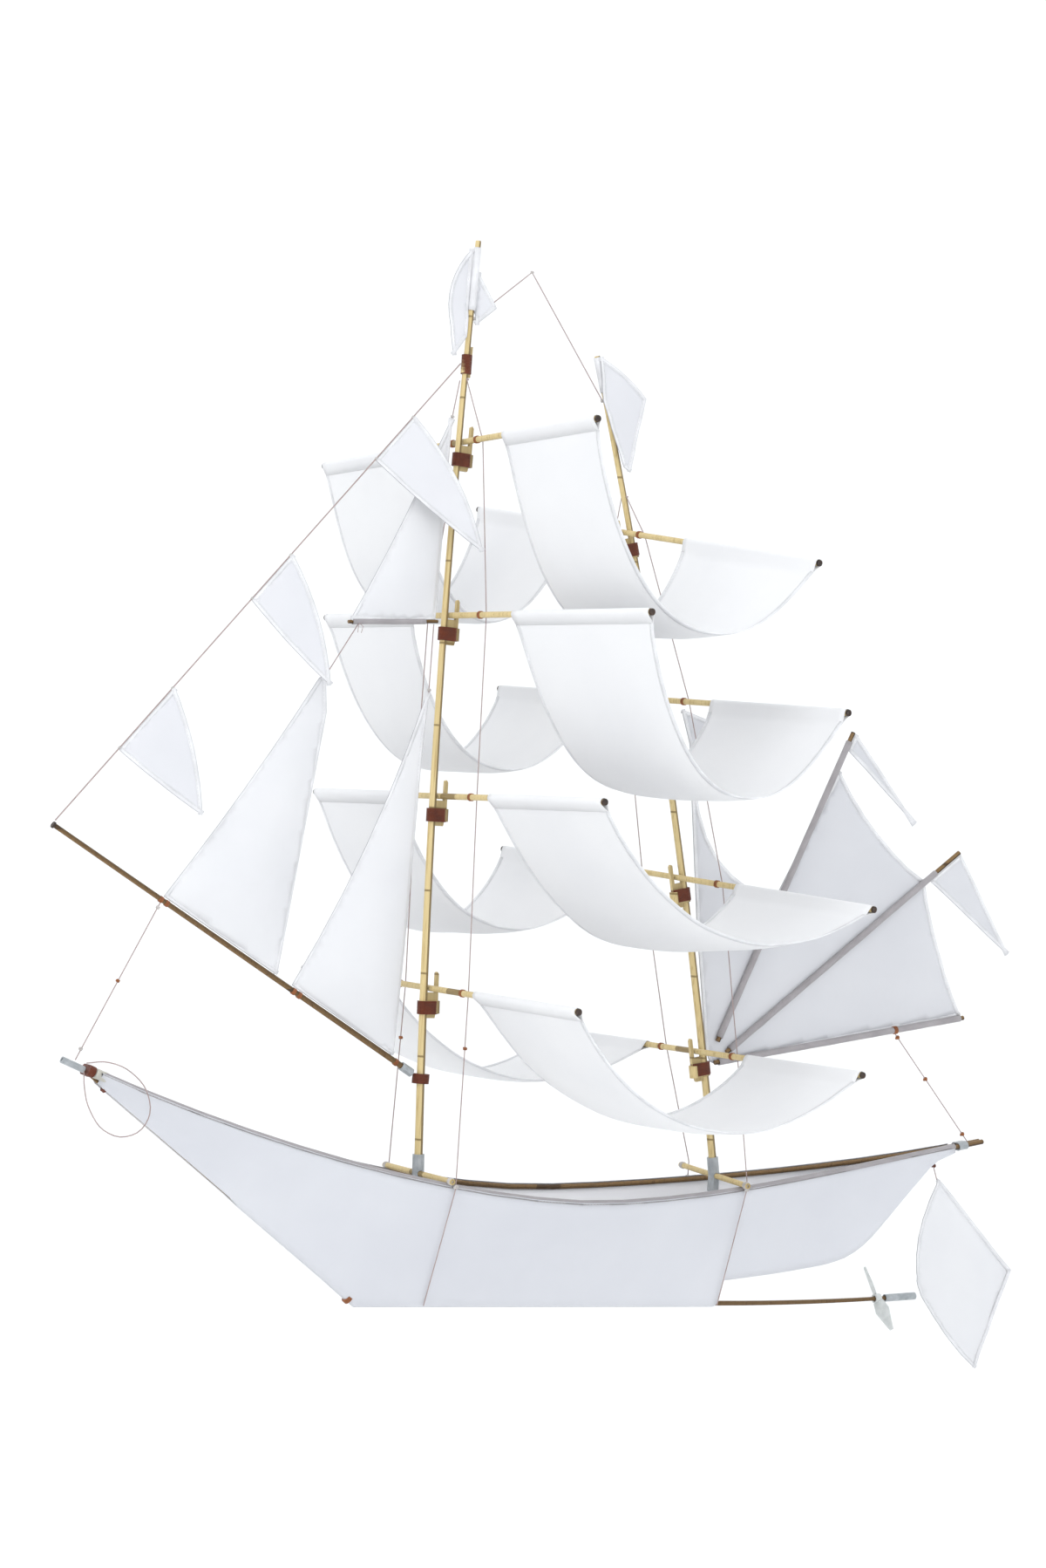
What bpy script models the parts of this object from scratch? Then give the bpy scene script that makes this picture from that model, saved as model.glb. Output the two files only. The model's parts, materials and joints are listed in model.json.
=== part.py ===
"""Two-masted sailing-ship kite of bamboo and white nylon, as separate named parts.

The bow points along -X, the port side along -Y and the mastheads along +Z. The origin is
on the flat underside of the keel, amidships. All lengths are in metres.
"""

import math

import bmesh
import bpy
from mathutils import Matrix, Vector

# Clearances and stock sizes
GAP = 0.0003                # between pieces that touch
CLOTH = 0.001               # plain cloth solids
THREAD_RADIUS = 0.0005
STAY_RADIUS = 0.0006
TUBE_SIDES = 3              # bevel resolution of a bamboo rod, 10 sides
THREAD_SIDES = 2            # bevel resolution of a thread, 8 sides

# Hull: keel, stem and sheer line
KEEL_FRONT = -0.186
KEEL_SKIN_END = 0.1885      # the aft end of the covered keel
KEEL_TAIL = 0.392
KEEL_WIDTH = 0.0036
KEEL_HEIGHT = 0.004
KEEL_TAIL_HEIGHT = 0.003
KEEL_TAIL_LIFT = 0.006      # how far the bare tail bows up
STEM_HEAD = Vector((-0.4475, 0.0, 0.1905))
STEM_RADIUS = 0.0018
SHEER_LOW = 0.0965          # gunwale height at its lowest point
SHEER_LOW_X = 0.01
BOW_X = -0.445
BOW_RISE = 0.094
STERN_X = 0.479
STERN_RISE = 0.0605
SHEER_POWERS = {"bow": 1.81, "stern": 1.48}
BEAM_X = -0.03              # where the hull is widest
HALF_BEAM = 0.0625
GUNWALE_RADIUS = 0.0023
BOW_HALF_BREADTH = 0.0056
STERN_HALF_BREADTH = 0.0028
BOW_FULLNESS = 1.45
STERN_FULLNESS = 2.1
SKIN_BOW_X = -0.438
SKIN_STERN_X = 0.445
SKIN_STERN_DEPTH = 0.0045
SKIN_CLEARANCE = GUNWALE_RADIUS + 2 * GAP + CLOTH / 2
SKIN_RISE = 0.001           # cloth above the gunwale's centre
SKIN_BELOW_STEM = 0.0022
SKIN_FOOT = 0.0008          # height of the cloth's edge along the keel
COUNTER = (                 # the underside behind the keel, as (x, height)
    (0.1875, 0.024),
    (0.252, 0.0315),
    (0.315, 0.041),
    (0.345, 0.053),
    (0.381, 0.093),
    (0.422, 0.136),
)

# Crosspieces, posts and their vinyl joints
SPREADER_RADIUS = 0.0026
SPREADER_BORE = 0.0013
POST_RADIUS = 0.003
STEP_OUTER = 0.0052
STEP_INNER = 0.0041
STEP_BELOW = 0.0145          # vinyl below and above the crosspiece
STEP_ABOVE = 0.0165
FORE_STEP = {"height": 0.1136, "reach": 0.0625, "heel": 0.0}
MAIN_STEP = {"height": 0.1182, "reach": 0.0560, "heel": 3.2}

# Masts: side is the side that the yards cross on, +1 aft and -1 forward
MAST_FOOT_RADIUS = 0.0036
MAST_HEAD_RADIUS = 0.0025
FOREMAST = {"foot": (-0.1335, 0.1195), "head": (-0.147, 0.924), "bow": -0.0095, "side": 1}
MAINMAST = {"foot": (0.1722, 0.1245), "head": (-0.018, 0.843), "bow": 0.013, "side": -1}

# Yards: height on the mast, yaw and roll in degrees, and slide to port
YARD_LENGTH = 0.48
YARD_RADIUS = 0.0027
YARD_BORE = 0.0015
YARD_PLAY = 0.0007          # between a yard and its mast
BARE_YARD = 0.077           # from the mast to the first stitch of a sail
LEVELS = {
    "course": {"fore": (0.273, 1.3, -0.6, 0.0), "main": (0.230, 2.5, 0.2, 0.0)},
    "topsail": {"fore": (0.439, 2.5, -0.1, 0.016), "main": (0.386, 11.9, -3.7, 0.0)},
    "topgallant": {"fore": (0.596, 6.4, -0.9, 0.039), "main": (0.544, 8.3, -2.6, 0.014)},
    "royal": {"fore": (0.748, 1.2, 0.1, -0.025), "main": (0.690, 8.3, -8.2, 0.018)},
}

# Crutch: the notched piece lashed to a mast that a yard rests in
CRUTCH_WIDTH = 0.0036
CRUTCH_DEPTH = 0.026
CRUTCH_RISE = 0.014
FINGER = 0.0028
NOTCH_PLAY = 0.0012
LASHING_HEIGHT = 0.011
LASHING_DROP = 0.0165
LASHING_WALL = 0.0014

# Square sails: one hammock of cloth each side, from the fore yard to the main yard
SAIL_CUT = {"port": 0.325, "starboard": 0.305}
SAIL_DROP = 0.0045          # from the yard's axis to the cloth's edge
SAIL_EDGE = 0.002           # bare yard left outside the sail

# Bowsprit and headsails, in the plane of the keel as (x, height)
BOWSPRIT_TIP = (-0.493, 0.387)
BOWSPRIT_FOOT = (-0.1475, 0.1995)
BOWSPRIT_RADII = (0.0020, 0.0026)
BOWSPRIT_TUBE = 0.012
FORESTAY_HEIGHT = 0.815
COLLAR_HEIGHT = 0.016
COLLAR_SLIVER = 0.0022
SLIVER_DROP = 0.7           # below the collar's middle, as a share of its height
SLIVER_BURY = 0.7           # its inner face, as a share of the mast's radius
SLIVER_HEEL = 0.001
STAYSAIL_SPAR = ((-0.243, 0.5795), (-0.1572, 0.5893))
STAYSAIL_SPAR_RADIUS = 0.0016
JIB_HALYARD_X = -0.233

# Spanker, a fan of three spars
GAFF = ((0.1665, 0.240), (0.293, 0.535))
SPRIT = ((0.177, 0.2305), (0.428, 0.432))
BOOM = ((0.165, 0.2205), (0.447, 0.2745))
SPANKER_SPAR_RADIUS = 0.0022
SPANKER_OFFSET = 0.0033     # cloth to the starboard of its spars
SHEET_ON_BOOM = 0.367

# Propeller, tail tube and tail fin
PROPELLER_X = 0.3685
BLADE_LENGTH = 0.034
BLADE_CHORD = 0.014
BLADE_THICKNESS = 0.002
BLADE_PITCH = 60.0
BLADE_PHASE = 42.0
HUB_RADIUS = 0.0046
HUB_BORE = 0.0029
HUB_LENGTH = 0.006
TAIL_TUBE = (0.3775, 0.4125)
TAIL_TUBE_OUTER = 0.0036
TAIL_TUBE_INNER = 0.0028
FIN_HOOK = (0.424, 0.1325)

# Shrouds: how far from the mast they pass each yard, lowest first
SHROUD_REACH = (0.055, 0.052, 0.044, 0.021)
SHROUD_FOOT = 0.0056        # from the keel's plane
SHROUD_PLAY = 0.0024        # between a shroud and a yard, which rocks

# Hanging line
HANG_APEX = Vector((-0.091, 0.0, 0.906))
HANG_FORE_HEIGHT = 0.856
HANG_MAIN_HEIGHT = 0.804

FINISHES = {
    "pale_bamboo": ((0.76, 0.59, 0.30), 0.5),
    "brown_bamboo": ((0.30, 0.16, 0.05), 0.5),
    "white_nylon": ((0.93, 0.94, 0.96), 0.7),
    "hull_nylon": ((0.76, 0.79, 0.85), 0.7),
    "grey_nylon": ((0.74, 0.76, 0.79), 0.7),
    "thread": ((0.55, 0.48, 0.46), 0.8),
    "vinyl_tube": ((0.62, 0.65, 0.67), 0.35),
    "grey_plastic": ((0.52, 0.52, 0.50), 0.45),
}

PORT = -1
STARBOARD = 1
SIDES = {"port": PORT, "starboard": STARBOARD}

# ------------------------------------------------------------------ scene and materials


def clear_scene():
    """Remove every object, and the collections that held them."""
    for old in list(bpy.data.objects):
        bpy.data.objects.remove(old, do_unlink=True)
    for old in list(bpy.data.collections):
        bpy.data.collections.remove(old)


def make_collection(name):
    collection = bpy.data.collections.new(name)
    bpy.context.scene.collection.children.link(collection)
    return collection


def make_material(name):
    colour, roughness = FINISHES[name]
    material = bpy.data.materials.new(name)
    material.use_nodes = True
    shader = material.node_tree.nodes["Principled BSDF"]
    shader.inputs["Base Color"].default_value = (*colour, 1.0)
    shader.inputs["Roughness"].default_value = roughness
    shader.inputs["Metallic"].default_value = 0.0
    return material


clear_scene()
KITE = make_collection("sailing_ship_kite")
MATERIALS = {name: make_material(name) for name in FINISHES}

# --------------------------------------------------------------------- modelling helpers


def add_object(name, data, finish):
    """Link a new object to the kite, in one finish."""
    thing = bpy.data.objects.new(name, data)
    KITE.objects.link(thing)
    if finish:
        data.materials.append(MATERIALS[finish])
    return thing


def in_keel_plane(point, y=0.0):
    """A point of the keel's plane, given as (x, height)."""
    return Vector((point[0], y, point[1]))


def along(start, end, fraction):
    return start + (end - start) * fraction


def tube(name, points, radius, finish, sides=TUBE_SIDES):
    """A capped tube through points; radius is one number, or one for each point."""
    curve = bpy.data.curves.new(name, "CURVE")
    curve.dimensions = "3D"
    curve.bevel_depth = 1.0
    curve.bevel_resolution = sides
    curve.use_fill_caps = True
    spline = curve.splines.new("POLY")
    spline.points.add(len(points) - 1)
    radii = radius if isinstance(radius, (list, tuple)) else [radius] * len(points)
    for knot, place, size in zip(spline.points, points, radii):
        knot.co = (*place, 1.0)
        knot.radius = size
    return add_object(name, curve, finish)


def plate(name, outline, thickness, finish, origin=(0, 0, 0), across=(1, 0, 0), up=(0, 0, 1)):
    """A flat piece: an outline in the plane of across and up, centred on its thickness."""
    curve = bpy.data.curves.new(name, "CURVE")
    curve.dimensions = "2D"
    curve.fill_mode = "BOTH"
    curve.extrude = thickness / 2
    spline = curve.splines.new("POLY")
    spline.points.add(len(outline) - 1)
    spline.use_cyclic_u = True
    for knot, place in zip(spline.points, outline):
        knot.co = (place[0], place[1], 0.0, 1.0)
    thing = add_object(name, curve, finish)
    across = Vector(across).normalized()
    up = Vector(up).normalized()
    frame = Matrix((across, up, across.cross(up))).transposed().to_4x4()
    thing.matrix_world = Matrix.Translation(Vector(origin)) @ frame
    return thing


def pipe(name, start, end, outer, inner, finish, steps=16):
    """A hollow tube, turned from its wall's section."""
    start = Vector(start)
    axis = Vector(end) - start
    mesh = bpy.data.meshes.new(name)
    section = [
        (outer, 0.0, axis.length),
        (outer, 0.0, 0.0),
        (inner, 0.0, 0.0),
        (inner, 0.0, axis.length),
    ]
    mesh.from_pydata(section, [(0, 1), (1, 2), (2, 3), (3, 0)], [])
    thing = add_object(name, mesh, finish)
    thing.location = start
    thing.rotation_mode = "QUATERNION"
    thing.rotation_quaternion = axis.to_track_quat("Z", "Y")
    turn = thing.modifiers.new("turn", "SCREW")
    turn.steps = steps
    turn.render_steps = steps
    turn.use_merge_vertices = True
    turn.merge_threshold = 0.0001
    return thing


def shell(name, rows, thickness, finish):
    """A cloth surface through rows of points, thickened both ways."""
    mesh = bpy.data.meshes.new(name)
    width = len(rows[0])
    faces = []
    for row in range(len(rows) - 1):
        for column in range(width - 1):
            corner = row * width + column
            faces.append((corner, corner + 1, corner + width + 1, corner + width))
    mesh.from_pydata([point for row in rows for point in row], [], faces)
    thing = add_object(name, mesh, finish)
    thicken = thing.modifiers.new("thickness", "SOLIDIFY")
    thicken.thickness = thickness
    thicken.offset = 0.0
    return thing


def as_mesh(thing):
    """Turn a curve or a modified object into a plain mesh object in the same place."""
    was_curve = thing.type == "CURVE"
    bpy.context.view_layer.update()
    evaluated = thing.evaluated_get(bpy.context.evaluated_depsgraph_get())
    mesh = bpy.data.meshes.new_from_object(evaluated)
    if was_curve:
        work = bmesh.new()
        work.from_mesh(mesh)
        bmesh.ops.remove_doubles(work, verts=work.verts, dist=0.00001)
        work.to_mesh(mesh)
        work.free()
    name = thing.name
    place = thing.matrix_world.copy()
    bpy.data.objects.remove(thing, do_unlink=True)
    solid = add_object(name, mesh, None)
    solid.matrix_world = place
    return solid


def combine(base, others, operation="UNION"):
    """Join other objects to base, or cut them from it, and remove them."""
    base = as_mesh(base)
    solids = [as_mesh(other) for other in others]
    for solid in solids:
        step = base.modifiers.new("combine", "BOOLEAN")
        step.operation = operation
        step.solver = "EXACT"
        step.object = solid
    finish = base.data.materials[0]
    result = as_mesh(base)
    for solid in solids:
        bpy.data.objects.remove(solid, do_unlink=True)
    result.data.materials.clear()
    result.data.materials.append(finish)
    return result


def pivot(name, place, *pieces):
    """Parent pieces to an empty on their joint's axis, without moving them."""
    empty = bpy.data.objects.new(name, None)
    KITE.objects.link(empty)
    empty.location = place
    bpy.context.view_layer.update()
    for piece in pieces:
        piece.parent = empty
        piece.matrix_parent_inverse = empty.matrix_world.inverted()
    return empty


def edge(start, end, hollow, count=6, skew=0.0):
    """Points from start towards end, on a curve that bows to the right of the way by hollow."""
    chord = Vector(end) - Vector(start)
    left = Vector((-chord.y, chord.x)).normalized()
    points = []
    for step in range(count):
        t = step / count
        bulge = 4 * t * (1 - t) * (1 + skew * (1 - 2 * t))
        points.append(Vector(start) + chord * t - left * hollow * bulge)
    return points


def catenary(start, end, length, count):
    """Points along a hanging strip of the given length."""
    level = Vector((end.x - start.x, end.y - start.y))
    rise = end.z - start.z
    ratio = math.sqrt(length ** 2 - rise ** 2) / level.length
    low, high = 1e-4, 20.0
    for _ in range(60):
        middle = (low + high) / 2
        if math.sinh(middle) / middle < ratio:
            low = middle
        else:
            high = middle
    scale = level.length / (2 * middle)
    lowest = level.length / 2 - scale * math.asinh(rise / (2 * scale * math.sinh(middle)))
    points = []
    for step in range(count):
        t = step / (count - 1)
        sag = math.cosh((level.length * t - lowest) / scale) - math.cosh(lowest / scale)
        points.append(Vector((start.x + level.x * t, start.y + level.y * t, start.z + scale * sag)))
    return points


# ---------------------------------------------------------------------------- hull shape


def sheer(x):
    """Height of the gunwale's centre."""
    if x < SHEER_LOW_X:
        t = (SHEER_LOW_X - x) / (SHEER_LOW_X - BOW_X)
        return SHEER_LOW + BOW_RISE * t ** SHEER_POWERS["bow"]
    t = (x - SHEER_LOW_X) / (STERN_X - SHEER_LOW_X)
    return SHEER_LOW + STERN_RISE * t ** SHEER_POWERS["stern"]


def half_breadth(x):
    """Distance of the gunwale's centre from the keel's plane."""
    if x < BEAM_X:
        t = (BEAM_X - x) / (BEAM_X - BOW_X)
        return HALF_BEAM - (HALF_BEAM - BOW_HALF_BREADTH) * t ** BOW_FULLNESS
    t = (x - BEAM_X) / (STERN_X - BEAM_X)
    fall = (HALF_BEAM - STERN_HALF_BREADTH) * math.sin(t * math.pi / 2) ** STERN_FULLNESS
    return HALF_BEAM - fall


def stem_height(x):
    """Height of the stem rod's centre."""
    t = (KEEL_FRONT - x) / (KEEL_FRONT - STEM_HEAD.x)
    return along(KEEL_HEIGHT, STEM_HEAD.z, t)


def build_keel():
    steps = 8
    lower, upper = [], []
    for step in range(steps + 1):
        t = step / steps
        x = KEEL_SKIN_END + (KEEL_TAIL - KEEL_SKIN_END) * t
        lift = KEEL_TAIL_LIFT * t * t
        height = along(KEEL_HEIGHT, KEEL_TAIL_HEIGHT, t)
        lower.append((x, lift))
        upper.append((x, lift + height))
    outline = [(KEEL_FRONT, 0.0)] + lower + upper[::-1] + [(KEEL_FRONT, KEEL_HEIGHT)]
    plate("keel_rod", outline, KEEL_WIDTH, "brown_bamboo")


def keel_tail(x):
    """Centre of the bare tail of the keel."""
    t = (x - KEEL_SKIN_END) / (KEEL_TAIL - KEEL_SKIN_END)
    height = along(KEEL_HEIGHT, KEEL_TAIL_HEIGHT, t)
    return Vector((x, 0.0, KEEL_TAIL_LIFT * t * t + height / 2))


def build_hull_rods():
    foot = Vector((KEEL_FRONT - 0.0025, 0.0, KEEL_HEIGHT + 0.0005))
    tube("stem_rod", [foot, STEM_HEAD], STEM_RADIUS, "brown_bamboo")
    count = 22
    for name, side in SIDES.items():
        points = []
        for step in range(count):
            x = along(BOW_X, STERN_X, step / (count - 1))
            points.append(Vector((x, side * half_breadth(x), sheer(x))))
        tube(f"gunwale_{name}", points, GUNWALE_RADIUS, "brown_bamboo")


def skin_edge(x, side, height):
    """The upper and lower ends of a panel's line, which lies tangent to the gunwale rod."""
    foot = KEEL_WIDTH / 2 + GAP + CLOTH
    inward = half_breadth(x) - foot
    drop = sheer(x) - height
    lean = math.atan2(inward, drop) + math.asin(SKIN_CLEARANCE / math.hypot(inward, drop))
    outside = foot + (drop + SKIN_RISE) * math.tan(lean)
    top = Vector((x, side * outside, sheer(x) + SKIN_RISE))
    return top, Vector((x, side * foot, height))


def build_hull_skins():
    """Each panel is ruled from the gunwale down to the stem, the keel and the counter."""
    steps = 8
    bottom = []
    for step in range(steps):
        x = along(SKIN_BOW_X, KEEL_FRONT, step / steps)
        bottom.append((x, stem_height(x) - SKIN_BELOW_STEM))
    for step in range(steps + 1):
        bottom.append((along(KEEL_FRONT, COUNTER[0][0] - 0.0015, step / steps), SKIN_FOOT))
    bottom += list(COUNTER)
    for name, side in SIDES.items():
        pairs = [skin_edge(x, side, height) for x, height in bottom]
        outside = half_breadth(SKIN_STERN_X) + SKIN_CLEARANCE
        corner = Vector((SKIN_STERN_X, side * outside, sheer(SKIN_STERN_X) + SKIN_RISE))
        pairs.append((corner, corner - Vector((0.0, 0.0, SKIN_STERN_DEPTH))))
        middle = [along(high, low, 0.5) for high, low in pairs]
        rows = [[high for high, _ in pairs], middle, [low for _, low in pairs]]
        shell(f"hull_skin_{name}", rows, CLOTH, "hull_nylon")


def build_hull_ends():
    """The vinyl sleeve at the bow tip, and the one that holds the gunwales at the stern."""
    slope = Vector((-0.020, 0.0, 0.0075))
    start = STEM_HEAD + slope * 0.04
    pipe("bow_tube", start, start + slope, 0.0028, 0.0016, "vinyl_tube", 12)
    middle = 0.4545
    axis = Vector((1.0, 0.0, (sheer(middle + 0.005) - sheer(middle - 0.005)) / 0.01)).normalized()
    reach = half_breadth(middle)
    centre = Vector((middle, 0.0, sheer(middle)))
    inner = stadium(reach, GUNWALE_RADIUS + 2 * GAP)
    outer = stadium(reach, GUNWALE_RADIUS + 2 * GAP + 0.001)
    upward = axis.cross(Vector((0, 1, 0))) * -1
    sleeve = plate("stern_tube", outer, 0.010, "vinyl_tube", centre, (0, 1, 0), upward)
    hole = plate("stern_tube_hole", inner, 0.014, "vinyl_tube", centre, (0, 1, 0), upward)
    combine(sleeve, [hole], "DIFFERENCE")


def stadium(reach, radius, low=None, steps=8):
    """An outline of two half circles, centred at -reach (or low) and +reach."""
    low = -reach if low is None else low
    outline = []
    for centre, first in ((reach, -math.pi / 2), (low, math.pi / 2)):
        for step in range(steps + 1):
            angle = first + math.pi * step / steps
            outline.append((centre + radius * math.cos(angle), radius * math.sin(angle)))
    return outline


def step_foot(mast, step):
    """Where a mast's line meets its crosspiece."""
    return mast_point(mast, step["height"])


def build_step(name, mast, step):
    """A post on the keel, a crosspiece over the gunwales and the vinyl tube around both."""
    middle = step_foot(mast, step)
    foot = Vector((middle.x, 0.0, KEEL_HEIGHT + GAP))
    head = middle - Vector((0.0, 0.0, SPREADER_RADIUS + GAP))
    tube(f"{name}_post", [foot, head], POST_RADIUS, "pale_bamboo")
    arm = Vector((0.0, step["reach"], math.tan(math.radians(step["heel"])) * step["reach"]))
    ends = [middle - arm, middle + arm]
    pipe(f"{name}_spreader", ends[0], ends[1], SPREADER_RADIUS, SPREADER_BORE, "pale_bamboo", 12)
    low = middle - Vector((0.0, 0.0, STEP_BELOW))
    high = mast_point(mast, step["height"] + STEP_ABOVE)
    beyond = Vector((0.0, 0.0, 0.004))
    wall = tube(f"{name}_step_tube", [low, middle, high], STEP_OUTER, "vinyl_tube", 4)
    past_high = high + (high - middle).normalized() * beyond.z
    bore = tube("step_bore", [low - beyond, middle, past_high], STEP_INNER, "vinyl_tube", 4)
    hole = tube("step_hole", ends, SPREADER_RADIUS + GAP, "vinyl_tube", 4)
    combine(wall, [bore, hole], "DIFFERENCE")


# --------------------------------------------------------------------------------- masts


def mast_point(mast, height):
    (foot_x, foot_z), (head_x, head_z) = mast["foot"], mast["head"]
    t = (height - foot_z) / (head_z - foot_z)
    x = along(foot_x, head_x, t) + mast["bow"] * 4 * t * (1 - t)
    return Vector((x, 0.0, height))


def mast_radius(mast, height):
    t = (height - mast["foot"][1]) / (mast["head"][1] - mast["foot"][1])
    return along(MAST_FOOT_RADIUS, MAST_HEAD_RADIUS, t)


def mast_direction(mast, height):
    step = 0.005
    return (mast_point(mast, height + step) - mast_point(mast, height - step)).normalized()


def yard_pivot(mast, height):
    """Centre of a yard where it crosses its mast."""
    away = mast_radius(mast, height) + YARD_PLAY + YARD_RADIUS
    return mast_point(mast, height) + Vector((mast["side"] * away, 0.0, 0.0))


def crutch(mast, height):
    """A notched piece beside the mast, and the lashing around both."""
    upward = mast_direction(mast, height)
    outward = Vector((upward.z, 0.0, -upward.x)) * mast["side"]
    centre = mast_point(mast, height)
    mast_face = mast_radius(mast, height)
    inner = mast_face - 0.0008
    notch = mast_face + YARD_PLAY + 2 * YARD_RADIUS + NOTCH_PLAY
    outer = notch + FINGER
    floor = -(YARD_RADIUS + NOTCH_PLAY)
    outline = [
        (inner, -CRUTCH_DEPTH),
        (outer - FINGER, -CRUTCH_DEPTH),
        (outer, floor - 0.010),
        (outer, CRUTCH_RISE - 0.002),
        (outer - FINGER / 2, CRUTCH_RISE),
        (notch, CRUTCH_RISE - 0.001),
        (notch, floor),
        (inner, floor),
    ]
    piece = plate("crutch", outline, CRUTCH_WIDTH, "pale_bamboo", centre, outward, upward)
    ring = stadium(outer - mast_face * 0.75, mast_face + LASHING_WALL, low=0.0)
    middle = centre - upward * LASHING_DROP
    lashing = plate("lashing", ring, LASHING_HEIGHT, "thread", middle, outward, (0, 1, 0))
    return [lashing, piece]


def forestay_collar():
    """The lashing that the forestay is made fast to, with a sliver of bamboo behind it."""
    upward = mast_direction(FOREMAST, FORESTAY_HEIGHT)
    outward = Vector((upward.z, 0.0, -upward.x))
    centre = mast_point(FOREMAST, FORESTAY_HEIGHT)
    radius = mast_radius(FOREMAST, FORESTAY_HEIGHT)
    ring = stadium(COLLAR_SLIVER / 2, radius + LASHING_WALL, low=0.0)
    collar = plate("collar", ring, COLLAR_HEIGHT, "thread", centre, outward, (0, 1, 0))
    low, high = -COLLAR_HEIGHT * SLIVER_DROP, COLLAR_HEIGHT
    inner, outer = radius * SLIVER_BURY, radius + COLLAR_SLIVER
    outline = [
        (inner, low),
        (outer, low),
        (outer, high),
        (outer - COLLAR_SLIVER / 2, high),
        (inner, low + SLIVER_HEEL),
    ]
    return [collar, plate("sliver", outline, COLLAR_SLIVER, "pale_bamboo", centre, outward, upward)]


def build_mast(name, mast, heights):
    count = 12
    foot, head = mast["foot"][1], mast["head"][1]
    levels = [along(foot, head, step / (count - 1)) for step in range(count)]
    points = [mast_point(mast, level) for level in levels]
    radii = [mast_radius(mast, level) for level in levels]
    pole = tube(name, points, radii, "pale_bamboo", 4)
    extras = []
    for height in heights:
        extras += crutch(mast, height)
    if mast is FOREMAST:
        extras += forestay_collar()
    return combine(pole, extras)


# ---------------------------------------------------------------- yards and square sails


def yard_line(mast, setting):
    """Centre, unit vector towards port, and slide of a yard."""
    height, yaw, roll, slide = setting
    yaw, roll = math.radians(yaw), math.radians(roll)
    to_port = Vector((math.sin(yaw) * math.cos(roll), -math.cos(yaw) * math.cos(roll), math.sin(roll)))
    return yard_pivot(mast, height), to_port, slide


def build_yard(name, line):
    centre, to_port, slide = line
    port_end = centre + to_port * (YARD_LENGTH / 2 + slide)
    starboard_end = centre - to_port * (YARD_LENGTH / 2 - slide)
    return pipe(name, port_end, starboard_end, YARD_RADIUS, YARD_BORE, "pale_bamboo", 10)


def build_square_sail(name, side, fore, main):
    """A hammock of cloth from the fore yard to the main yard on one side."""
    across, down = 5, 13
    rows = []
    for column in range(across):
        ends = []
        for centre, to_port, slide in (fore, main):
            outward = PORT * side
            first = BARE_YARD + outward * 0.4 * slide
            last = YARD_LENGTH / 2 + outward * slide - SAIL_EDGE
            reach = along(first, last, column / (across - 1))
            ends.append(centre + to_port * outward * reach - Vector((0.0, 0.0, SAIL_DROP)))
        length = SAIL_CUT["port" if side == PORT else "starboard"]
        rows.append(catenary(ends[0], ends[1], length, down))
    return shell(name, rows, CLOTH, "white_nylon")


def build_levels():
    for level, settings in LEVELS.items():
        fore = yard_line(FOREMAST, settings["fore"])
        main = yard_line(MAINMAST, settings["main"])
        pieces = [build_yard(f"fore_{level}_yard", fore), build_yard(f"main_{level}_yard", main)]
        for name, side in SIDES.items():
            pieces.append(build_square_sail(f"{level}_sail_{name}", side, fore, main))
        pivot(f"{level}_pivot", fore[0], *pieces)


# ----------------------------------------------------------------- bowsprit and headsails


def bowsprit_point(x):
    (tip_x, tip_z), (foot_x, foot_z) = BOWSPRIT_TIP, BOWSPRIT_FOOT
    return Vector((x, 0.0, along(tip_z, foot_z, (x - tip_x) / (foot_x - tip_x))))


def above_bowsprit(x):
    """An outline point of a sail's foot, just clear of the bowsprit."""
    return (x, bowsprit_point(x).z + 0.0040)


def build_bowsprit():
    tip, foot = in_keel_plane(BOWSPRIT_TIP), in_keel_plane(BOWSPRIT_FOOT)
    tube("bowsprit", [tip, foot], list(BOWSPRIT_RADII), "brown_bamboo")
    inward = (tip - foot).normalized()
    inner = BOWSPRIT_RADII[1] + GAP + 0.0001
    pipe("bowsprit_tube", foot, foot + inward * BOWSPRIT_TUBE, inner + 0.0009, inner, "vinyl_tube", 12)


def forestay_ends():
    collar = mast_point(FOREMAST, FORESTAY_HEIGHT)
    reach = mast_radius(FOREMAST, FORESTAY_HEIGHT) + LASHING_WALL + STAY_RADIUS + 2 * GAP
    head = collar - Vector((reach, 0.0, 0.0))
    tip = in_keel_plane(BOWSPRIT_TIP) + Vector((0.0018, 0.0, 0.0034))
    return head, tip


def flag(name, hoist, tip, clearance, finish="white_nylon"):
    """A three-cornered flag beside a straight hoist, which is its hinge line."""
    top, bottom = hoist
    across = (bottom - top).normalized()
    offset = tip - top
    up = (offset - across * offset.dot(across)).normalized()
    outline = [
        (0.0, clearance),
        ((bottom - top).length, clearance),
        (offset.dot(across), offset.dot(up)),
    ]
    return plate(name, outline, CLOTH, finish, top, across, up)


def build_forestay():
    head, tip = forestay_ends()
    tube("forestay", [head, tip], STAY_RADIUS, "thread", THREAD_SIDES)
    flags = {
        "upper_stay_flag": (-0.196, -0.230, Vector((-0.140, -0.036, 0.648))),
        "middle_stay_flag": (-0.301, -0.335, Vector((-0.271, -0.030, 0.520))),
        "lower_stay_flag": (-0.398, -0.442, Vector((-0.372, -0.016, 0.404))),
    }
    for name, (upper, lower, corner) in flags.items():
        hoist = [along(head, tip, (x - head.x) / (tip.x - head.x)) for x in (upper, lower)]
        flag(name, hoist, corner, STAY_RADIUS + GAP + 0.0002)


def halyard(points):
    """A taut thread from the head of a sail, joined to its cloth."""
    return tube("halyard", [in_keel_plane(point) for point in points], THREAD_RADIUS, "thread", THREAD_SIDES)


def spar_height(x):
    (outer_x, outer_z), (inner_x, inner_z) = STAYSAIL_SPAR
    return along(outer_z, inner_z, (x - outer_x) / (inner_x - outer_x))


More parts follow.
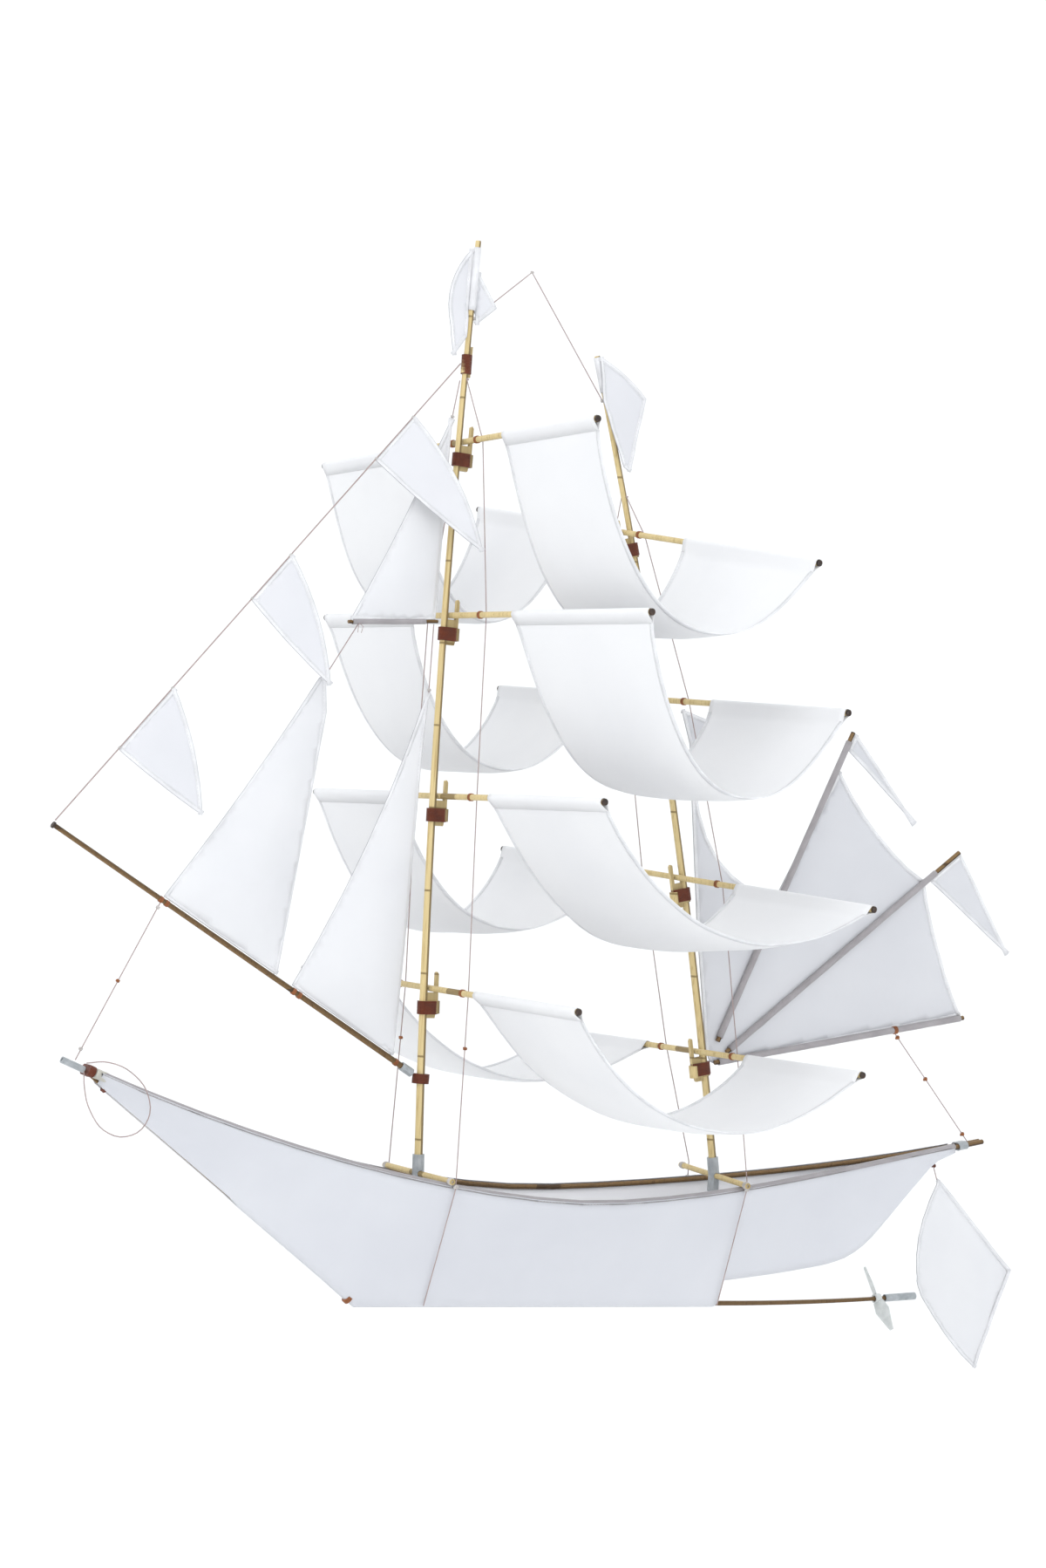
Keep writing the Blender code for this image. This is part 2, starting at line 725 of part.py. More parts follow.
def build_headsails():
    ends = [in_keel_plane(point) for point in STAYSAIL_SPAR]
    tube("staysail_spar", ends, STAYSAIL_SPAR_RADIUS, "brown_bamboo")
    below_spar = STAYSAIL_SPAR_RADIUS + GAP + THREAD_RADIUS
    above_spar = STAYSAIL_SPAR_RADIUS + GAP

    tack, clew = above_bowsprit(-0.391), above_bowsprit(-0.283)
    outline = [tack, clew, (-0.257, 0.501), (-0.2605, 0.5315), (-0.266, 0.529)]
    outline += edge((-0.266, 0.529), tack, -0.003)[1:]
    cloth = plate("outer_jib", outline, CLOTH, "white_nylon")
    line = halyard([(-0.2625, 0.526), (JIB_HALYARD_X, spar_height(JIB_HALYARD_X) - below_spar)])
    combine(cloth, [line])

    tack, clew = above_bowsprit(-0.268), above_bowsprit(-0.167)
    outline = [tack, clew, (-0.1645, 0.30), (-0.1625, 0.477), (-0.1605, 0.527)]
    outline += edge((-0.1635, 0.521), tack, -0.008)
    cloth = plate("inner_jib", outline, CLOTH, "white_nylon")
    combine(cloth, [halyard([(-0.1620, 0.518), (-0.1602, spar_height(-0.1602) - below_spar)])])

    foot = [(-0.241, spar_height(-0.241) + above_spar), (-0.160, spar_height(-0.160) + above_spar)]
    outline = foot + [(-0.1592, 0.768)]
    outline += edge((-0.1600, 0.7675), foot[0], -0.003)[1:]
    cloth = plate("topmast_staysail", outline, CLOTH, "white_nylon")
    combine(cloth, [halyard([(-0.1596, 0.764), (-0.1538, 0.800)])])


# -------------------------------------------------------------------------------- spanker


def build_spanker():
    spars = {"spanker_gaff": GAFF, "spanker_sprit": SPRIT, "spanker_boom": BOOM}
    pieces = []
    for name, (inner, outer) in spars.items():
        ends = [in_keel_plane(inner), in_keel_plane(outer)]
        pieces.append(tube(name, ends, SPANKER_SPAR_RADIUS, "brown_bamboo"))
    gaff_corner, sprit_corner, clew = (0.2825, 0.498), (0.391, 0.402), (0.4455, 0.2765)
    outline = [(0.161, 0.2215), (0.167, 0.2195), clew]
    outline += edge(clew, sprit_corner, -0.009)[1:]
    outline += edge(sprit_corner, gaff_corner, -0.012)
    outline += [gaff_corner, (0.2180, 0.3700)]
    outline += edge((0.2140, 0.3720), (0.1235, 0.471), -0.022)[1:]
    outline += [(0.1225, 0.471), (0.1215, 0.503), (0.139, 0.529), (0.102, 0.538), (0.1135, 0.508)]
    outline += [(0.1185, 0.471), (0.1360, 0.345), (0.156, 0.232)]
    origin = (0.0, SPANKER_OFFSET, 0.0)
    pieces.append(plate("spanker_sail", outline, CLOTH, "grey_nylon", origin))
    clearance = SPANKER_SPAR_RADIUS + GAP + CLOTH / 2
    flags = {
        "gaff_flag": (GAFF, 0.286, Vector((0.362, -0.010, 0.454))),
        "sprit_flag": (SPRIT, 0.394, Vector((0.485, -0.008, 0.338))),
    }
    for name, ((inner, outer), hoist_end, corner) in flags.items():
        top, heel = in_keel_plane(outer), in_keel_plane(inner)
        bottom = along(top, heel, (hoist_end - top.x) / (heel.x - top.x))
        pieces.append(flag(name, [top, bottom], corner, clearance, "grey_nylon"))
    pivot("spanker_pivot", (0.158, 0.0, 0.223), *pieces)


# ------------------------------------------------------------------------ masthead flags


def build_masthead_flags():
    """Each flag is cloth on a sleeve that turns on the head of its mast."""
    sleeve_wall = 0.0008
    low, high = 0.8625, 0.918
    bore = mast_radius(FOREMAST, low) + 2 * GAP
    ends = [mast_point(FOREMAST, low), mast_point(FOREMAST, high)]
    sleeve = pipe("foremast_flag", ends[0], ends[1], bore + sleeve_wall, bore, "white_nylon", 12)
    beside = bore + sleeve_wall / 2
    outline = [
        (-beside, 0.0535), (-0.0205, -0.018), (-0.0170, -0.0425), (-0.0045, -0.024), (-beside, 0.0010),
    ]
    luff = plate("flag_luff", outline, CLOTH, "white_nylon", ends[0])
    outline = [(beside, 0.0365), (0.0235, 0.0055), (0.0045, -0.012), (beside, 0.0010)]
    fly = plate("flag_fly", outline, CLOTH, "white_nylon", ends[0] + Vector((0.0, 0.0018, 0.0)))
    combine(sleeve, [luff, fly])

    low, high = 0.812, 0.838
    bore = mast_radius(MAINMAST, low) + 2 * GAP
    ends = [mast_point(MAINMAST, low), mast_point(MAINMAST, high)]
    outer = bore + sleeve_wall
    sleeve = pipe("mainmast_flag", ends[0], ends[1], outer, bore, "white_nylon", 12)
    outline = [(-0.017, 0.842), (0.032, 0.811), (0.024, 0.768), (0.020, 0.743), (0.013, 0.747)]
    outline += [(-0.002, 0.780), (-0.011, 0.803), (-0.013, 0.822)]
    beside = outer - 0.0001
    cloth = plate("flag_cloth", outline, CLOTH, "white_nylon", (0.0, PORT * beside, 0.0))
    combine(sleeve, [cloth])


# ------------------------------------------------------------------- propeller and tail


def build_propeller():
    hub_centre = keel_tail(PROPELLER_X)
    shaft = (keel_tail(PROPELLER_X + 0.002) - keel_tail(PROPELLER_X - 0.002)).normalized()
    half = shaft * HUB_LENGTH / 2
    hub = tube("propeller", [hub_centre - half, hub_centre + half], HUB_RADIUS, "grey_plastic", 4)
    root, shoulder = 0.0035, 0.013
    chord = BLADE_CHORD / 2
    outline = [(root, -chord * 0.7), (shoulder, -chord), (BLADE_LENGTH, -chord * 0.25)]
    outline += [(BLADE_LENGTH, chord * 0.25), (shoulder, chord), (root, chord * 0.7)]
    blades = []
    for turn in (0.0, math.pi):
        spin = Matrix.Rotation(math.radians(-BLADE_PHASE) + turn, 3, shaft)
        outward = spin @ Vector((0.0, 0.0, 1.0))
        tangent = shaft.cross(outward)
        pitch = math.radians(BLADE_PITCH)
        across = shaft * math.cos(pitch) - tangent * math.sin(pitch)
        blades.append(plate("blade", outline, BLADE_THICKNESS, "grey_plastic", hub_centre, outward, across))
    bore = tube("bore", [hub_centre - half * 3, hub_centre + half * 3], HUB_BORE, "grey_plastic", 4)
    whole = combine(hub, blades)
    propeller = combine(whole, [bore], "DIFFERENCE")
    pivot("propeller_pivot", hub_centre, propeller)


def build_tail():
    start, end = (keel_tail(x) for x in TAIL_TUBE)
    pipe("tail_tube", start, end, TAIL_TUBE_OUTER, TAIL_TUBE_INNER, "vinyl_tube", 12)
    top, lowest, corner = (0.430, 0.120), (0.485, -0.059), (0.5175, 0.036)
    outline = edge(top, lowest, 0.0435, 12, skew=0.25) + [lowest, corner]
    cloth = plate("tail_fin", outline, CLOTH, "white_nylon")
    hook = halyard([(0.4305, 0.116), (0.4285, 0.121), FIN_HOOK])
    fin = combine(cloth, [hook])
    pivot("tail_fin_pivot", in_keel_plane(FIN_HOOK), fin)


# --------------------------------------------------------------------------------- lines


def shroud_half(side, mast, step, yards, head_height, keel_x):
    """Half of a shroud: from the keel, past a crosspiece and the yards, to the masthead."""
    aft_of_rod = GAP + THREAD_RADIUS + 0.0002
    middle = step_foot(mast, step)
    x = middle.x + SPREADER_RADIUS + aft_of_rod
    panel_edge, _ = skin_edge(x, side, SKIN_FOOT)
    outside = abs(panel_edge.y) + 0.0018
    lift = side * math.tan(math.radians(step["heel"])) * step["reach"]
    route = [
        Vector((keel_x, side * SHROUD_FOOT, SKIN_FOOT)),
        Vector((x, side * outside, sheer(x) - 0.001)),
        Vector((x, side * outside, step["height"] + lift + 0.004)),
    ]
    for (centre, to_port, _), distance in zip(yards, SHROUD_REACH):
        place = centre + to_port * distance * PORT * side
        route.append(place + Vector((YARD_RADIUS + SHROUD_PLAY + THREAD_RADIUS, 0.0, 0.0)))
    head = mast_point(mast, head_height)
    radius = (mast_radius(mast, head_height) + GAP + THREAD_RADIUS) * 1.12
    for degrees in (90, 45):
        angle = math.radians(degrees) * side
        route.append(head + Vector((math.cos(angle), math.sin(angle), 0.0)) * radius)
    return route, head + Vector((radius, 0.0, 0.0))


def shroud_pair(name, *rigging):
    """One thread over the mast, made fast to the keel on both sides."""
    port_half, top = shroud_half(PORT, *rigging)
    starboard_half, _ = shroud_half(STARBOARD, *rigging)
    route = port_half + [top] + starboard_half[::-1]
    tube(name, route, THREAD_RADIUS, "thread", THREAD_SIDES)


def build_lines():
    for name, mast, step, head, keel_x in (
        ("fore_shrouds", FOREMAST, FORE_STEP, 0.802, -0.1206),
        ("main_shrouds", MAINMAST, MAIN_STEP, 0.722, 0.1835),
    ):
        part = name.split("_")[0]
        yards = [yard_line(mast, settings[part]) for settings in LEVELS.values()]
        shroud_pair(name, mast, step, yards, head, keel_x)

    start = bowsprit_point(-0.394) - Vector((0.0, 0.0, 0.0035))
    end = Vector((-0.4565, 0.0, 0.1985))
    tube("bobstay", [start, end], THREAD_RADIUS, "thread", THREAD_SIDES)

    boom_inner, boom_outer = (in_keel_plane(point) for point in BOOM)
    ring = along(boom_inner, boom_outer, (SHEET_ON_BOOM - boom_inner.x) / (boom_outer.x - boom_inner.x))
    top = ring - Vector((0.0, 0.0, SPANKER_SPAR_RADIUS + GAP + THREAD_RADIUS + 0.0002))
    foot = Vector((0.4625, 0.0, sheer(0.4625) + GUNWALE_RADIUS + 0.0006))
    sheet = tube("boom_sheet", [foot, top], THREAD_RADIUS, "thread", THREAD_SIDES)
    pivot("boom_sheet_pivot", foot, sheet)


def smooth_route(points, count):
    """Evenly spaced points along a smooth curve through the route's own points."""
    guide = bpy.data.curves.new("guide", "CURVE")
    guide.dimensions = "3D"
    guide.resolution_u = 16
    spline = guide.splines.new("BEZIER")
    spline.bezier_points.add(len(points) - 1)
    for knot, place in zip(spline.bezier_points, points):
        knot.co = place
        knot.handle_left_type = "AUTO"
        knot.handle_right_type = "AUTO"
    holder = bpy.data.objects.new("guide", guide)
    KITE.objects.link(holder)
    bpy.context.view_layer.update()
    fine = [vertex.co.copy() for vertex in holder.to_mesh().vertices]
    bpy.data.objects.remove(holder, do_unlink=True)
    bpy.data.curves.remove(guide)
    lengths = [0.0]
    for first, second in zip(fine, fine[1:]):
        lengths.append(lengths[-1] + (second - first).length)
    route = []
    for step in range(count):
        target = lengths[-1] * step / (count - 1)
        index = min(sum(1 for length in lengths if length < target), len(fine) - 1)
        index = max(index, 1)
        span = lengths[index] - lengths[index - 1]
        route.append(along(fine[index - 1], fine[index], (target - lengths[index - 1]) / span))
    return route


def build_free_cords():
    """The line that the kite hangs from, and the loose loop at the bow."""
    fore = mast_point(FOREMAST, HANG_FORE_HEIGHT)
    fore.x += mast_radius(FOREMAST, HANG_FORE_HEIGHT) + THREAD_RADIUS + GAP
    main = mast_point(MAINMAST, HANG_MAIN_HEIGHT)
    main.x -= mast_radius(MAINMAST, HANG_MAIN_HEIGHT) + THREAD_RADIUS + GAP + 0.0003
    tube("hang_line", [fore, HANG_APEX, main], THREAD_RADIUS, "thread", THREAD_SIDES)
    loop = [
        Vector((-0.4480, -0.0036, 0.1965)),
        Vector((-0.4330, -0.0125, 0.1985)),
        Vector((-0.4140, -0.0215, 0.1905)),
        Vector((-0.4010, -0.0270, 0.1720)),
        Vector((-0.4020, -0.0290, 0.1530)),
        Vector((-0.4155, -0.0270, 0.1410)),
        Vector((-0.4330, -0.0215, 0.1430)),
        Vector((-0.4460, -0.0150, 0.1590)),
        Vector((-0.4500, -0.0085, 0.1770)),
        Vector((-0.4500, -0.0045, 0.1900)),
    ]
    tube("bow_loop", smooth_route(loop, 70), THREAD_RADIUS, "thread", THREAD_SIDES)


# ---------------------------------------------------------------------------- the kite


def build_kite():
    build_keel()
    build_hull_rods()
    build_hull_skins()
    build_hull_ends()
    build_step("fore", FOREMAST, FORE_STEP)
    build_step("main", MAINMAST, MAIN_STEP)
    for name, mast in (("foremast", FOREMAST), ("mainmast", MAINMAST)):
        part = name.removesuffix("mast")
        build_mast(name, mast, [settings[part][0] for settings in LEVELS.values()])
    build_levels()
    build_bowsprit()
    build_forestay()
    build_headsails()
    build_spanker()
    build_masthead_flags()
    build_propeller()
    build_tail()
    build_lines()
    build_free_cords()


def shade_round_pieces():
    """Smooth every mesh except across its sharp edges."""
    for thing in KITE.objects:
        if thing.type == "MESH":
            thing.data.shade_smooth()
            thing.data.set_sharp_from_angle(angle=math.radians(40))


build_kite()
shade_round_pieces()
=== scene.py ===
"""Looks of the two-masted sailing-ship kite: cloth, threads, lashings, knots and materials.

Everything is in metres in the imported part's frame: the bow along -X, port along -Y and the
mastheads along +Z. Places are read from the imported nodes.
"""

import itertools
import json
import math

import bpy
import numpy as np
from mathutils import Matrix, Vector, geometry, noise


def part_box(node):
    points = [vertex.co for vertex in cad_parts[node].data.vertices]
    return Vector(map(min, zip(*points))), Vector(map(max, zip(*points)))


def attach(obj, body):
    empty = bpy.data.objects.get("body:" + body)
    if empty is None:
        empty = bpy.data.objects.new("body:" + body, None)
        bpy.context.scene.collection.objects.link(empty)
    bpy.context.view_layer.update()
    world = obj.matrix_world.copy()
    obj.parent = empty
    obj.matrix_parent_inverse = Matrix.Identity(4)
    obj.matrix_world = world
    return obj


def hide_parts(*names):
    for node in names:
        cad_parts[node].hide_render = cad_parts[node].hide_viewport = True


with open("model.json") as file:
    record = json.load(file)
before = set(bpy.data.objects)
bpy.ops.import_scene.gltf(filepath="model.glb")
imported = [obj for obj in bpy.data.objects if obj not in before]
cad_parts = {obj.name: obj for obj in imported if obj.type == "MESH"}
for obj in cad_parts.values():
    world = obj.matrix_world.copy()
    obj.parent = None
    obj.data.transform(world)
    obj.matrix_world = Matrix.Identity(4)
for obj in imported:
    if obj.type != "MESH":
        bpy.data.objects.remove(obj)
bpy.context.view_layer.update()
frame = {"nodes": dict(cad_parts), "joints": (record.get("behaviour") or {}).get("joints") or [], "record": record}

NODES = frame["nodes"]
BODY_OF = {node: body for body, nodes in frame["record"]["behaviour"]["bodies"].items() for node in nodes}
LEVELS = ("course", "topsail", "topgallant", "royal")
MASTS = ("fore", "main")
UP = Vector((0.0, 0.0, 1.0))
SIDES = {"port": -1, "starboard": 1}
FABRIC = 0.0003             # thickness of the nylon

# ------------------------------------------------------------------------ camera and stage

SHIP_PITCH = -5.2           # degrees, how the camera's level lies to the keel
CAMERA_AZIMUTH = -30.0
CAMERA_PLACE = (-1.3845, -2.2999, 0.3660)
CAMERA_LENS = 69.36
CAMERA_SHIFT = -0.0217
SENSOR_WIDTH = 36.0
LIT_PLACE = (0, 0, 0.4)      # what both lights point at
FLOOR_DROP = 0.42           # the floor, below the keel
FLOOR_RADIUS = 3.4
FLOOR_CURVE = 1.2           # radius of the curve from the floor into the wall
CURVE_STEPS = 8
WALL_HEIGHT = 3.0


def add_camera():
    data = bpy.data.cameras.new("camera")
    data.lens = CAMERA_LENS
    data.sensor_width = SENSOR_WIDTH
    data.shift_y = CAMERA_SHIFT
    camera = bpy.data.objects.new("camera", data)
    bpy.context.scene.collection.objects.link(camera)
    pitch = Matrix.Rotation(math.radians(SHIP_PITCH), 4, "Y")
    turn = Matrix.Rotation(math.radians(CAMERA_AZIMUTH), 4, "Z")
    level = Matrix.Rotation(math.radians(90.0), 4, "X")
    camera.matrix_world = Matrix.Translation(CAMERA_PLACE) @ pitch @ turn @ level
    bpy.context.scene.camera = camera


def add_area_light(name, place, target, size, power, colour):
    data = bpy.data.lights.new(name, "AREA")
    data.shape = "DISK"
    data.size = size
    data.energy = power
    data.color = colour
    light = bpy.data.objects.new(name, data)
    bpy.context.scene.collection.objects.link(light)
    light.location = place
    light.rotation_mode = "QUATERNION"
    light.rotation_quaternion = (Vector(target) - Vector(place)).to_track_quat("-Z", "Y")


def add_stage():
    """A pale floor that curves up into a wall all round, and soft light."""
    profile = [(0.0, 0.0), (FLOOR_RADIUS, 0.0)]
    for step in range(1, CURVE_STEPS + 1):
        angle = math.pi / 2 * step / CURVE_STEPS
        across, rise = FLOOR_CURVE * math.sin(angle), FLOOR_CURVE * (1 - math.cos(angle))
        profile.append((FLOOR_RADIUS + across, rise))
    profile.append((FLOOR_RADIUS + FLOOR_CURVE, WALL_HEIGHT))
    mesh = bpy.data.meshes.new("stage")
    points = [(x, 0.0, z - FLOOR_DROP) for x, z in profile]
    mesh.from_pydata(points, [(i, i + 1) for i in range(len(points) - 1)], [])
    stage = bpy.data.objects.new("stage", mesh)
    bpy.context.scene.collection.objects.link(stage)
    turn = stage.modifiers.new("turn", "SCREW")
    turn.steps = turn.render_steps = 64
    turn.use_merge_vertices = True
    turn.merge_threshold = 0.0001
    turn.use_normal_flip = True
    material = bpy.data.materials.new("stage_paper")
    material.use_nodes = True
    shader = material.node_tree.nodes["Principled BSDF"]
    shader.inputs["Base Color"].default_value = (0.93, 0.93, 0.93, 1.0)
    shader.inputs["Roughness"].default_value = 0.9
    mesh.materials.append(material)

    world = bpy.data.worlds.new("studio")
    world.use_nodes = True
    background = world.node_tree.nodes["Background"]
    background.inputs["Color"].default_value = (0.96, 0.98, 1.0, 1.0)
    background.inputs["Strength"].default_value = 1.22
    bpy.context.scene.world = world
    add_area_light("key", (-2.6, -1.6, 2.6), LIT_PLACE, 2.0, 22.0, (1.0, 1.0, 1.0))
    add_area_light("front", (-0.6, -3.2, 0.3), LIT_PLACE, 2.4, 20.0, (0.97, 0.98, 1.0))
    bpy.context.scene.view_settings.view_transform = "Standard"


# --------------------------------------------------------------------------- materials


WEAVE = 520.0               # scale of the cloth's threads
STRANDS = 2600.0            # scale of a sewing thread's strands
THROUGH_CLOTH = 0.07        # share of the light that goes through nylon
JOINTS_PER_METRE = 14.0     # a bamboo stalk's dark joints
SKIN_AND_SHADE_SIDE = (0.93, -0.25, -0.27)        # the way that the dark side faces: partly the stalk's skin, partly painted shade


class Shader:
    """A material's node tree, with short names for the nodes that the finishes use."""

    def __init__(self, name, roughness, coat=0.0, sheen=0.0, transmission=0.0, alpha=1.0):
        self.material = bpy.data.materials.new(name)
        self.material.use_nodes = True
        self.tree = self.material.node_tree
        self.shader = self.tree.nodes["Principled BSDF"]
        self.set("Roughness", roughness)
        self.set("Coat Weight", coat)
        self.set("Sheen Weight", sheen)
        self.set("Transmission Weight", transmission)
        self.set("Alpha", alpha)
        self.coordinates = self.tree.nodes.new("ShaderNodeTexCoord")

    def set(self, socket, value):
        self.shader.inputs[socket].default_value = value

    def node(self, kind, settings=None, **inputs):
        """A new node: settings are its own properties, and inputs its sockets' values."""
        made = self.tree.nodes.new(kind)
        for key, value in (settings or {}).items():
            setattr(made, key, value)
        for key, value in inputs.items():
            socket = made.inputs[int(key[1:]) if key[1:].isdigit() else key.replace("_", " ")]
            if isinstance(value, bpy.types.NodeSocket):
                self.tree.links.new(value, socket)
            else:
                socket.default_value = value
        return made

    def place(self, source="Object", scale=(1.0, 1.0, 1.0), turn=(0.0, 0.0, 0.0)):
        vector = self.coordinates.outputs[source]
        mapping = self.node("ShaderNodeMapping", Vector=vector, Rotation=turn, Scale=scale)
        return mapping.outputs["Vector"]

    def noise(self, vector, scale, detail=3.0, roughness=0.5):
        made = self.node("ShaderNodeTexNoise", Vector=vector, Scale=scale, Detail=detail, Roughness=roughness)
        return made.outputs["Fac"]

    def wave(self, vector, scale, distortion=0.0, direction="X"):
        settings = {"bands_direction": direction}
        made = self.node("ShaderNodeTexWave", settings, Vector=vector, Scale=scale, Distortion=distortion)
        return made.outputs["Fac"]

    def math(self, operation, first, second):
        made = self.node("ShaderNodeMath", {"operation": operation}, _0=first, _1=second)
        return made.outputs["Value"]

    def ramp(self, factor, *stops):
        made = self.node("ShaderNodeValToRGB", Fac=factor)
        elements = made.color_ramp.elements
        while len(elements) < len(stops):
            elements.new(0.5)
        for element, (position, colour) in zip(elements, stops):
            element.position = position
            element.color = (*colour, 1.0)
        return made.outputs["Color"]

    def mix(self, factor, first, second):
        sides = [c if isinstance(c, bpy.types.NodeSocket) else (*c, 1.0) for c in (first, second)]
        made = self.node("ShaderNodeMix", {"data_type": "RGBA"}, _0=factor, _6=sides[0], _7=sides[1])
        return made.outputs[2]

    def colour(self, socket):
        self.tree.links.new(socket, self.shader.inputs["Base Color"])

    def rough(self, socket, low, high):
        spread = self.node("ShaderNodeMapRange", Value=socket, To_Min=low, To_Max=high)
        self.tree.links.new(spread.outputs["Result"], self.shader.inputs["Roughness"])

    def bump(self, height, distance, strength=1.0):
        made = self.node("ShaderNodeBump", Height=height, Distance=distance, Strength=strength)
        self.tree.links.new(made.outputs["Normal"], self.shader.inputs["Normal"])


def nylon(name, colour, shade, alpha=1.0):
    """Thin plain-weave nylon that lets some light through, with a fine weave, creases and mottling.

    UVs are in metres."""
    made = Shader(name, 0.62, sheen=0.25, transmission=THROUGH_CLOTH, alpha=alpha)
    made.set("IOR", 1.15)
    cloth = made.place("UV")
    warp = made.wave(cloth, WEAVE)
    weft = made.wave(cloth, WEAVE, direction="Y")
    weave = made.math("MULTIPLY", warp, weft)
    place = made.place()
    creases = made.noise(place, 26.0, 5.0, 0.55)
    mottle = made.noise(place, 9.0, 3.0)
    tone = made.ramp(mottle, (0.3, shade), (0.7, colour))
    threads = made.mix(made.math("MULTIPLY", weave, 0.10), tone, shade)
    made.colour(threads)
    made.rough(creases, 0.52, 0.72)
    height = made.math("ADD", made.math("MULTIPLY", weave, 0.08), creases)
    made.bump(height, 0.0016, 0.35)
    return made.material


def hem_cloth(name, colour, stitch):
    """Folded hem with a row of stitches along its middle; U runs along it, V across, in metres."""
    made = Shader(name, 0.75, sheen=0.2)
    cloth = made.place("UV")
    split = made.node("ShaderNodeSeparateXYZ", Vector=cloth)
    dash = made.math("LESS_THAN", made.math("PINGPONG", split.outputs["X"], 0.0016), 0.0011)
    line = made.math("LESS_THAN", made.math("ABSOLUTE", split.outputs["Y"], 0.0), 0.00022)
    stitches = made.math("MULTIPLY", dash, line)
    place = made.place()
    wear = made.noise(place, 60.0, 4.0)
    base = made.ramp(wear, (0.3, tuple(c * 0.82 for c in colour)), (0.7, colour))
    made.colour(made.mix(stitches, base, stitch))
    weave = made.wave(cloth, WEAVE, direction="DIAGONAL")
    made.bump(made.math("ADD", made.math("MULTIPLY", weave, 0.1), stitches), 0.0003, 0.6)
    return made.material


def bamboo(name, pale, dark, axis):
    """Split bamboo: fibres along the rod, darker joints, and a dark side on each rod that is partly the stalk's
    skin and partly painted shade.
    """
    turn = axis.rotation_difference(UP).to_euler("XYZ")
    made = Shader(name, 0.42, coat=0.04)
    made.set("Specular IOR Level", 0.3)
    fibres = made.place("Object", (620.0, 620.0, 9.0), turn)
    grain = made.noise(fibres, 1.0, 4.0, 0.6)
    blotch = made.noise(made.place("Object", (60.0, 60.0, 14.0), turn), 1.0, 3.0)
    stalk = made.place("Object", (1.0, 1.0, JOINTS_PER_METRE), turn)
    split = made.node("ShaderNodeSeparateXYZ", Vector=stalk)
    joint = made.math("LESS_THAN", made.math("PINGPONG", split.outputs["Z"], 0.5), 0.012)
    tone = made.ramp(grain, (0.25, dark), (0.46, pale), (0.8, tuple(min(1.0, c * 1.15) for c in pale)))
    # Painted shade mixed with the stalk's dark skin: the side of each rod that faces one fixed way is darkened
    # towards near black.
    facing = made.node("ShaderNodeVectorMath", {"operation": "DOT_PRODUCT"},
                       _0=made.coordinates.outputs["Normal"], _1=SKIN_AND_SHADE_SIDE).outputs["Value"]
    skin = made.node("ShaderNodeMapRange", Value=facing, From_Min=0.0, From_Max=0.5).outputs["Result"]
    stained_and_shaded = made.mix(made.math("MULTIPLY", blotch, 0.35), tone, dark)
    stained_and_shaded = made.mix(made.math("MULTIPLY", skin, 0.9), stained_and_shaded, tuple(c * 0.38 for c in dark))
    made.colour(made.mix(made.math("MULTIPLY", joint, 0.8), stained_and_shaded, tuple(c * 0.5 for c in dark)))
    made.rough(grain, 0.34, 0.58)
    made.bump(made.math("ADD", grain, joint), 0.00025, 0.5)
    return made.material


def thread(name, colour, shade, gloss=0.7):
    """Twisted thread: fine slanted strands over uneven dye."""
    made = Shader(name, gloss, sheen=0.1)
    made.set("Specular IOR Level", 0.3)
    place = made.place()
    strands = made.wave(place, STRANDS, 1.5, "DIAGONAL")
    dye = made.noise(place, 140.0, 3.0)
    made.colour(made.mix(strands, made.ramp(dye, (0.3, shade), (0.7, colour)), shade))
    made.rough(dye, gloss - 0.08, gloss + 0.1)
    made.bump(strands, 0.0001, 0.6)
    return made.material


def vinyl(name, colour, cloud):
    """Soft cloudy tube: waxy, with slight haze and scuffs."""
    made = Shader(name, 0.3, coat=0.25, transmission=0.25)
    made.set("IOR", 1.45)
    place = made.place()
    haze = made.noise(place, 180.0, 4.0)
    scuffs = made.noise(made.place("Object", (900.0, 900.0, 60.0)), 1.0, 2.0)
    made.colour(made.ramp(haze, (0.3, cloud), (0.7, colour)))
    made.rough(scuffs, 0.22, 0.45)
    made.bump(scuffs, 0.00012, 0.4)
    return made.material


def moulded(name, colour, shade):
    """Moulded plastic with a fine grain and slightly worn edges."""
    made = Shader(name, 0.42)
    place = made.place()
    grain = made.noise(place, 2200.0, 2.0)
    wear = made.noise(place, 160.0, 4.0)
    made.colour(made.ramp(wear, (0.35, shade), (0.65, colour)))
    made.rough(wear, 0.34, 0.55)
    made.bump(grain, 0.00008, 0.5)
    return made.material


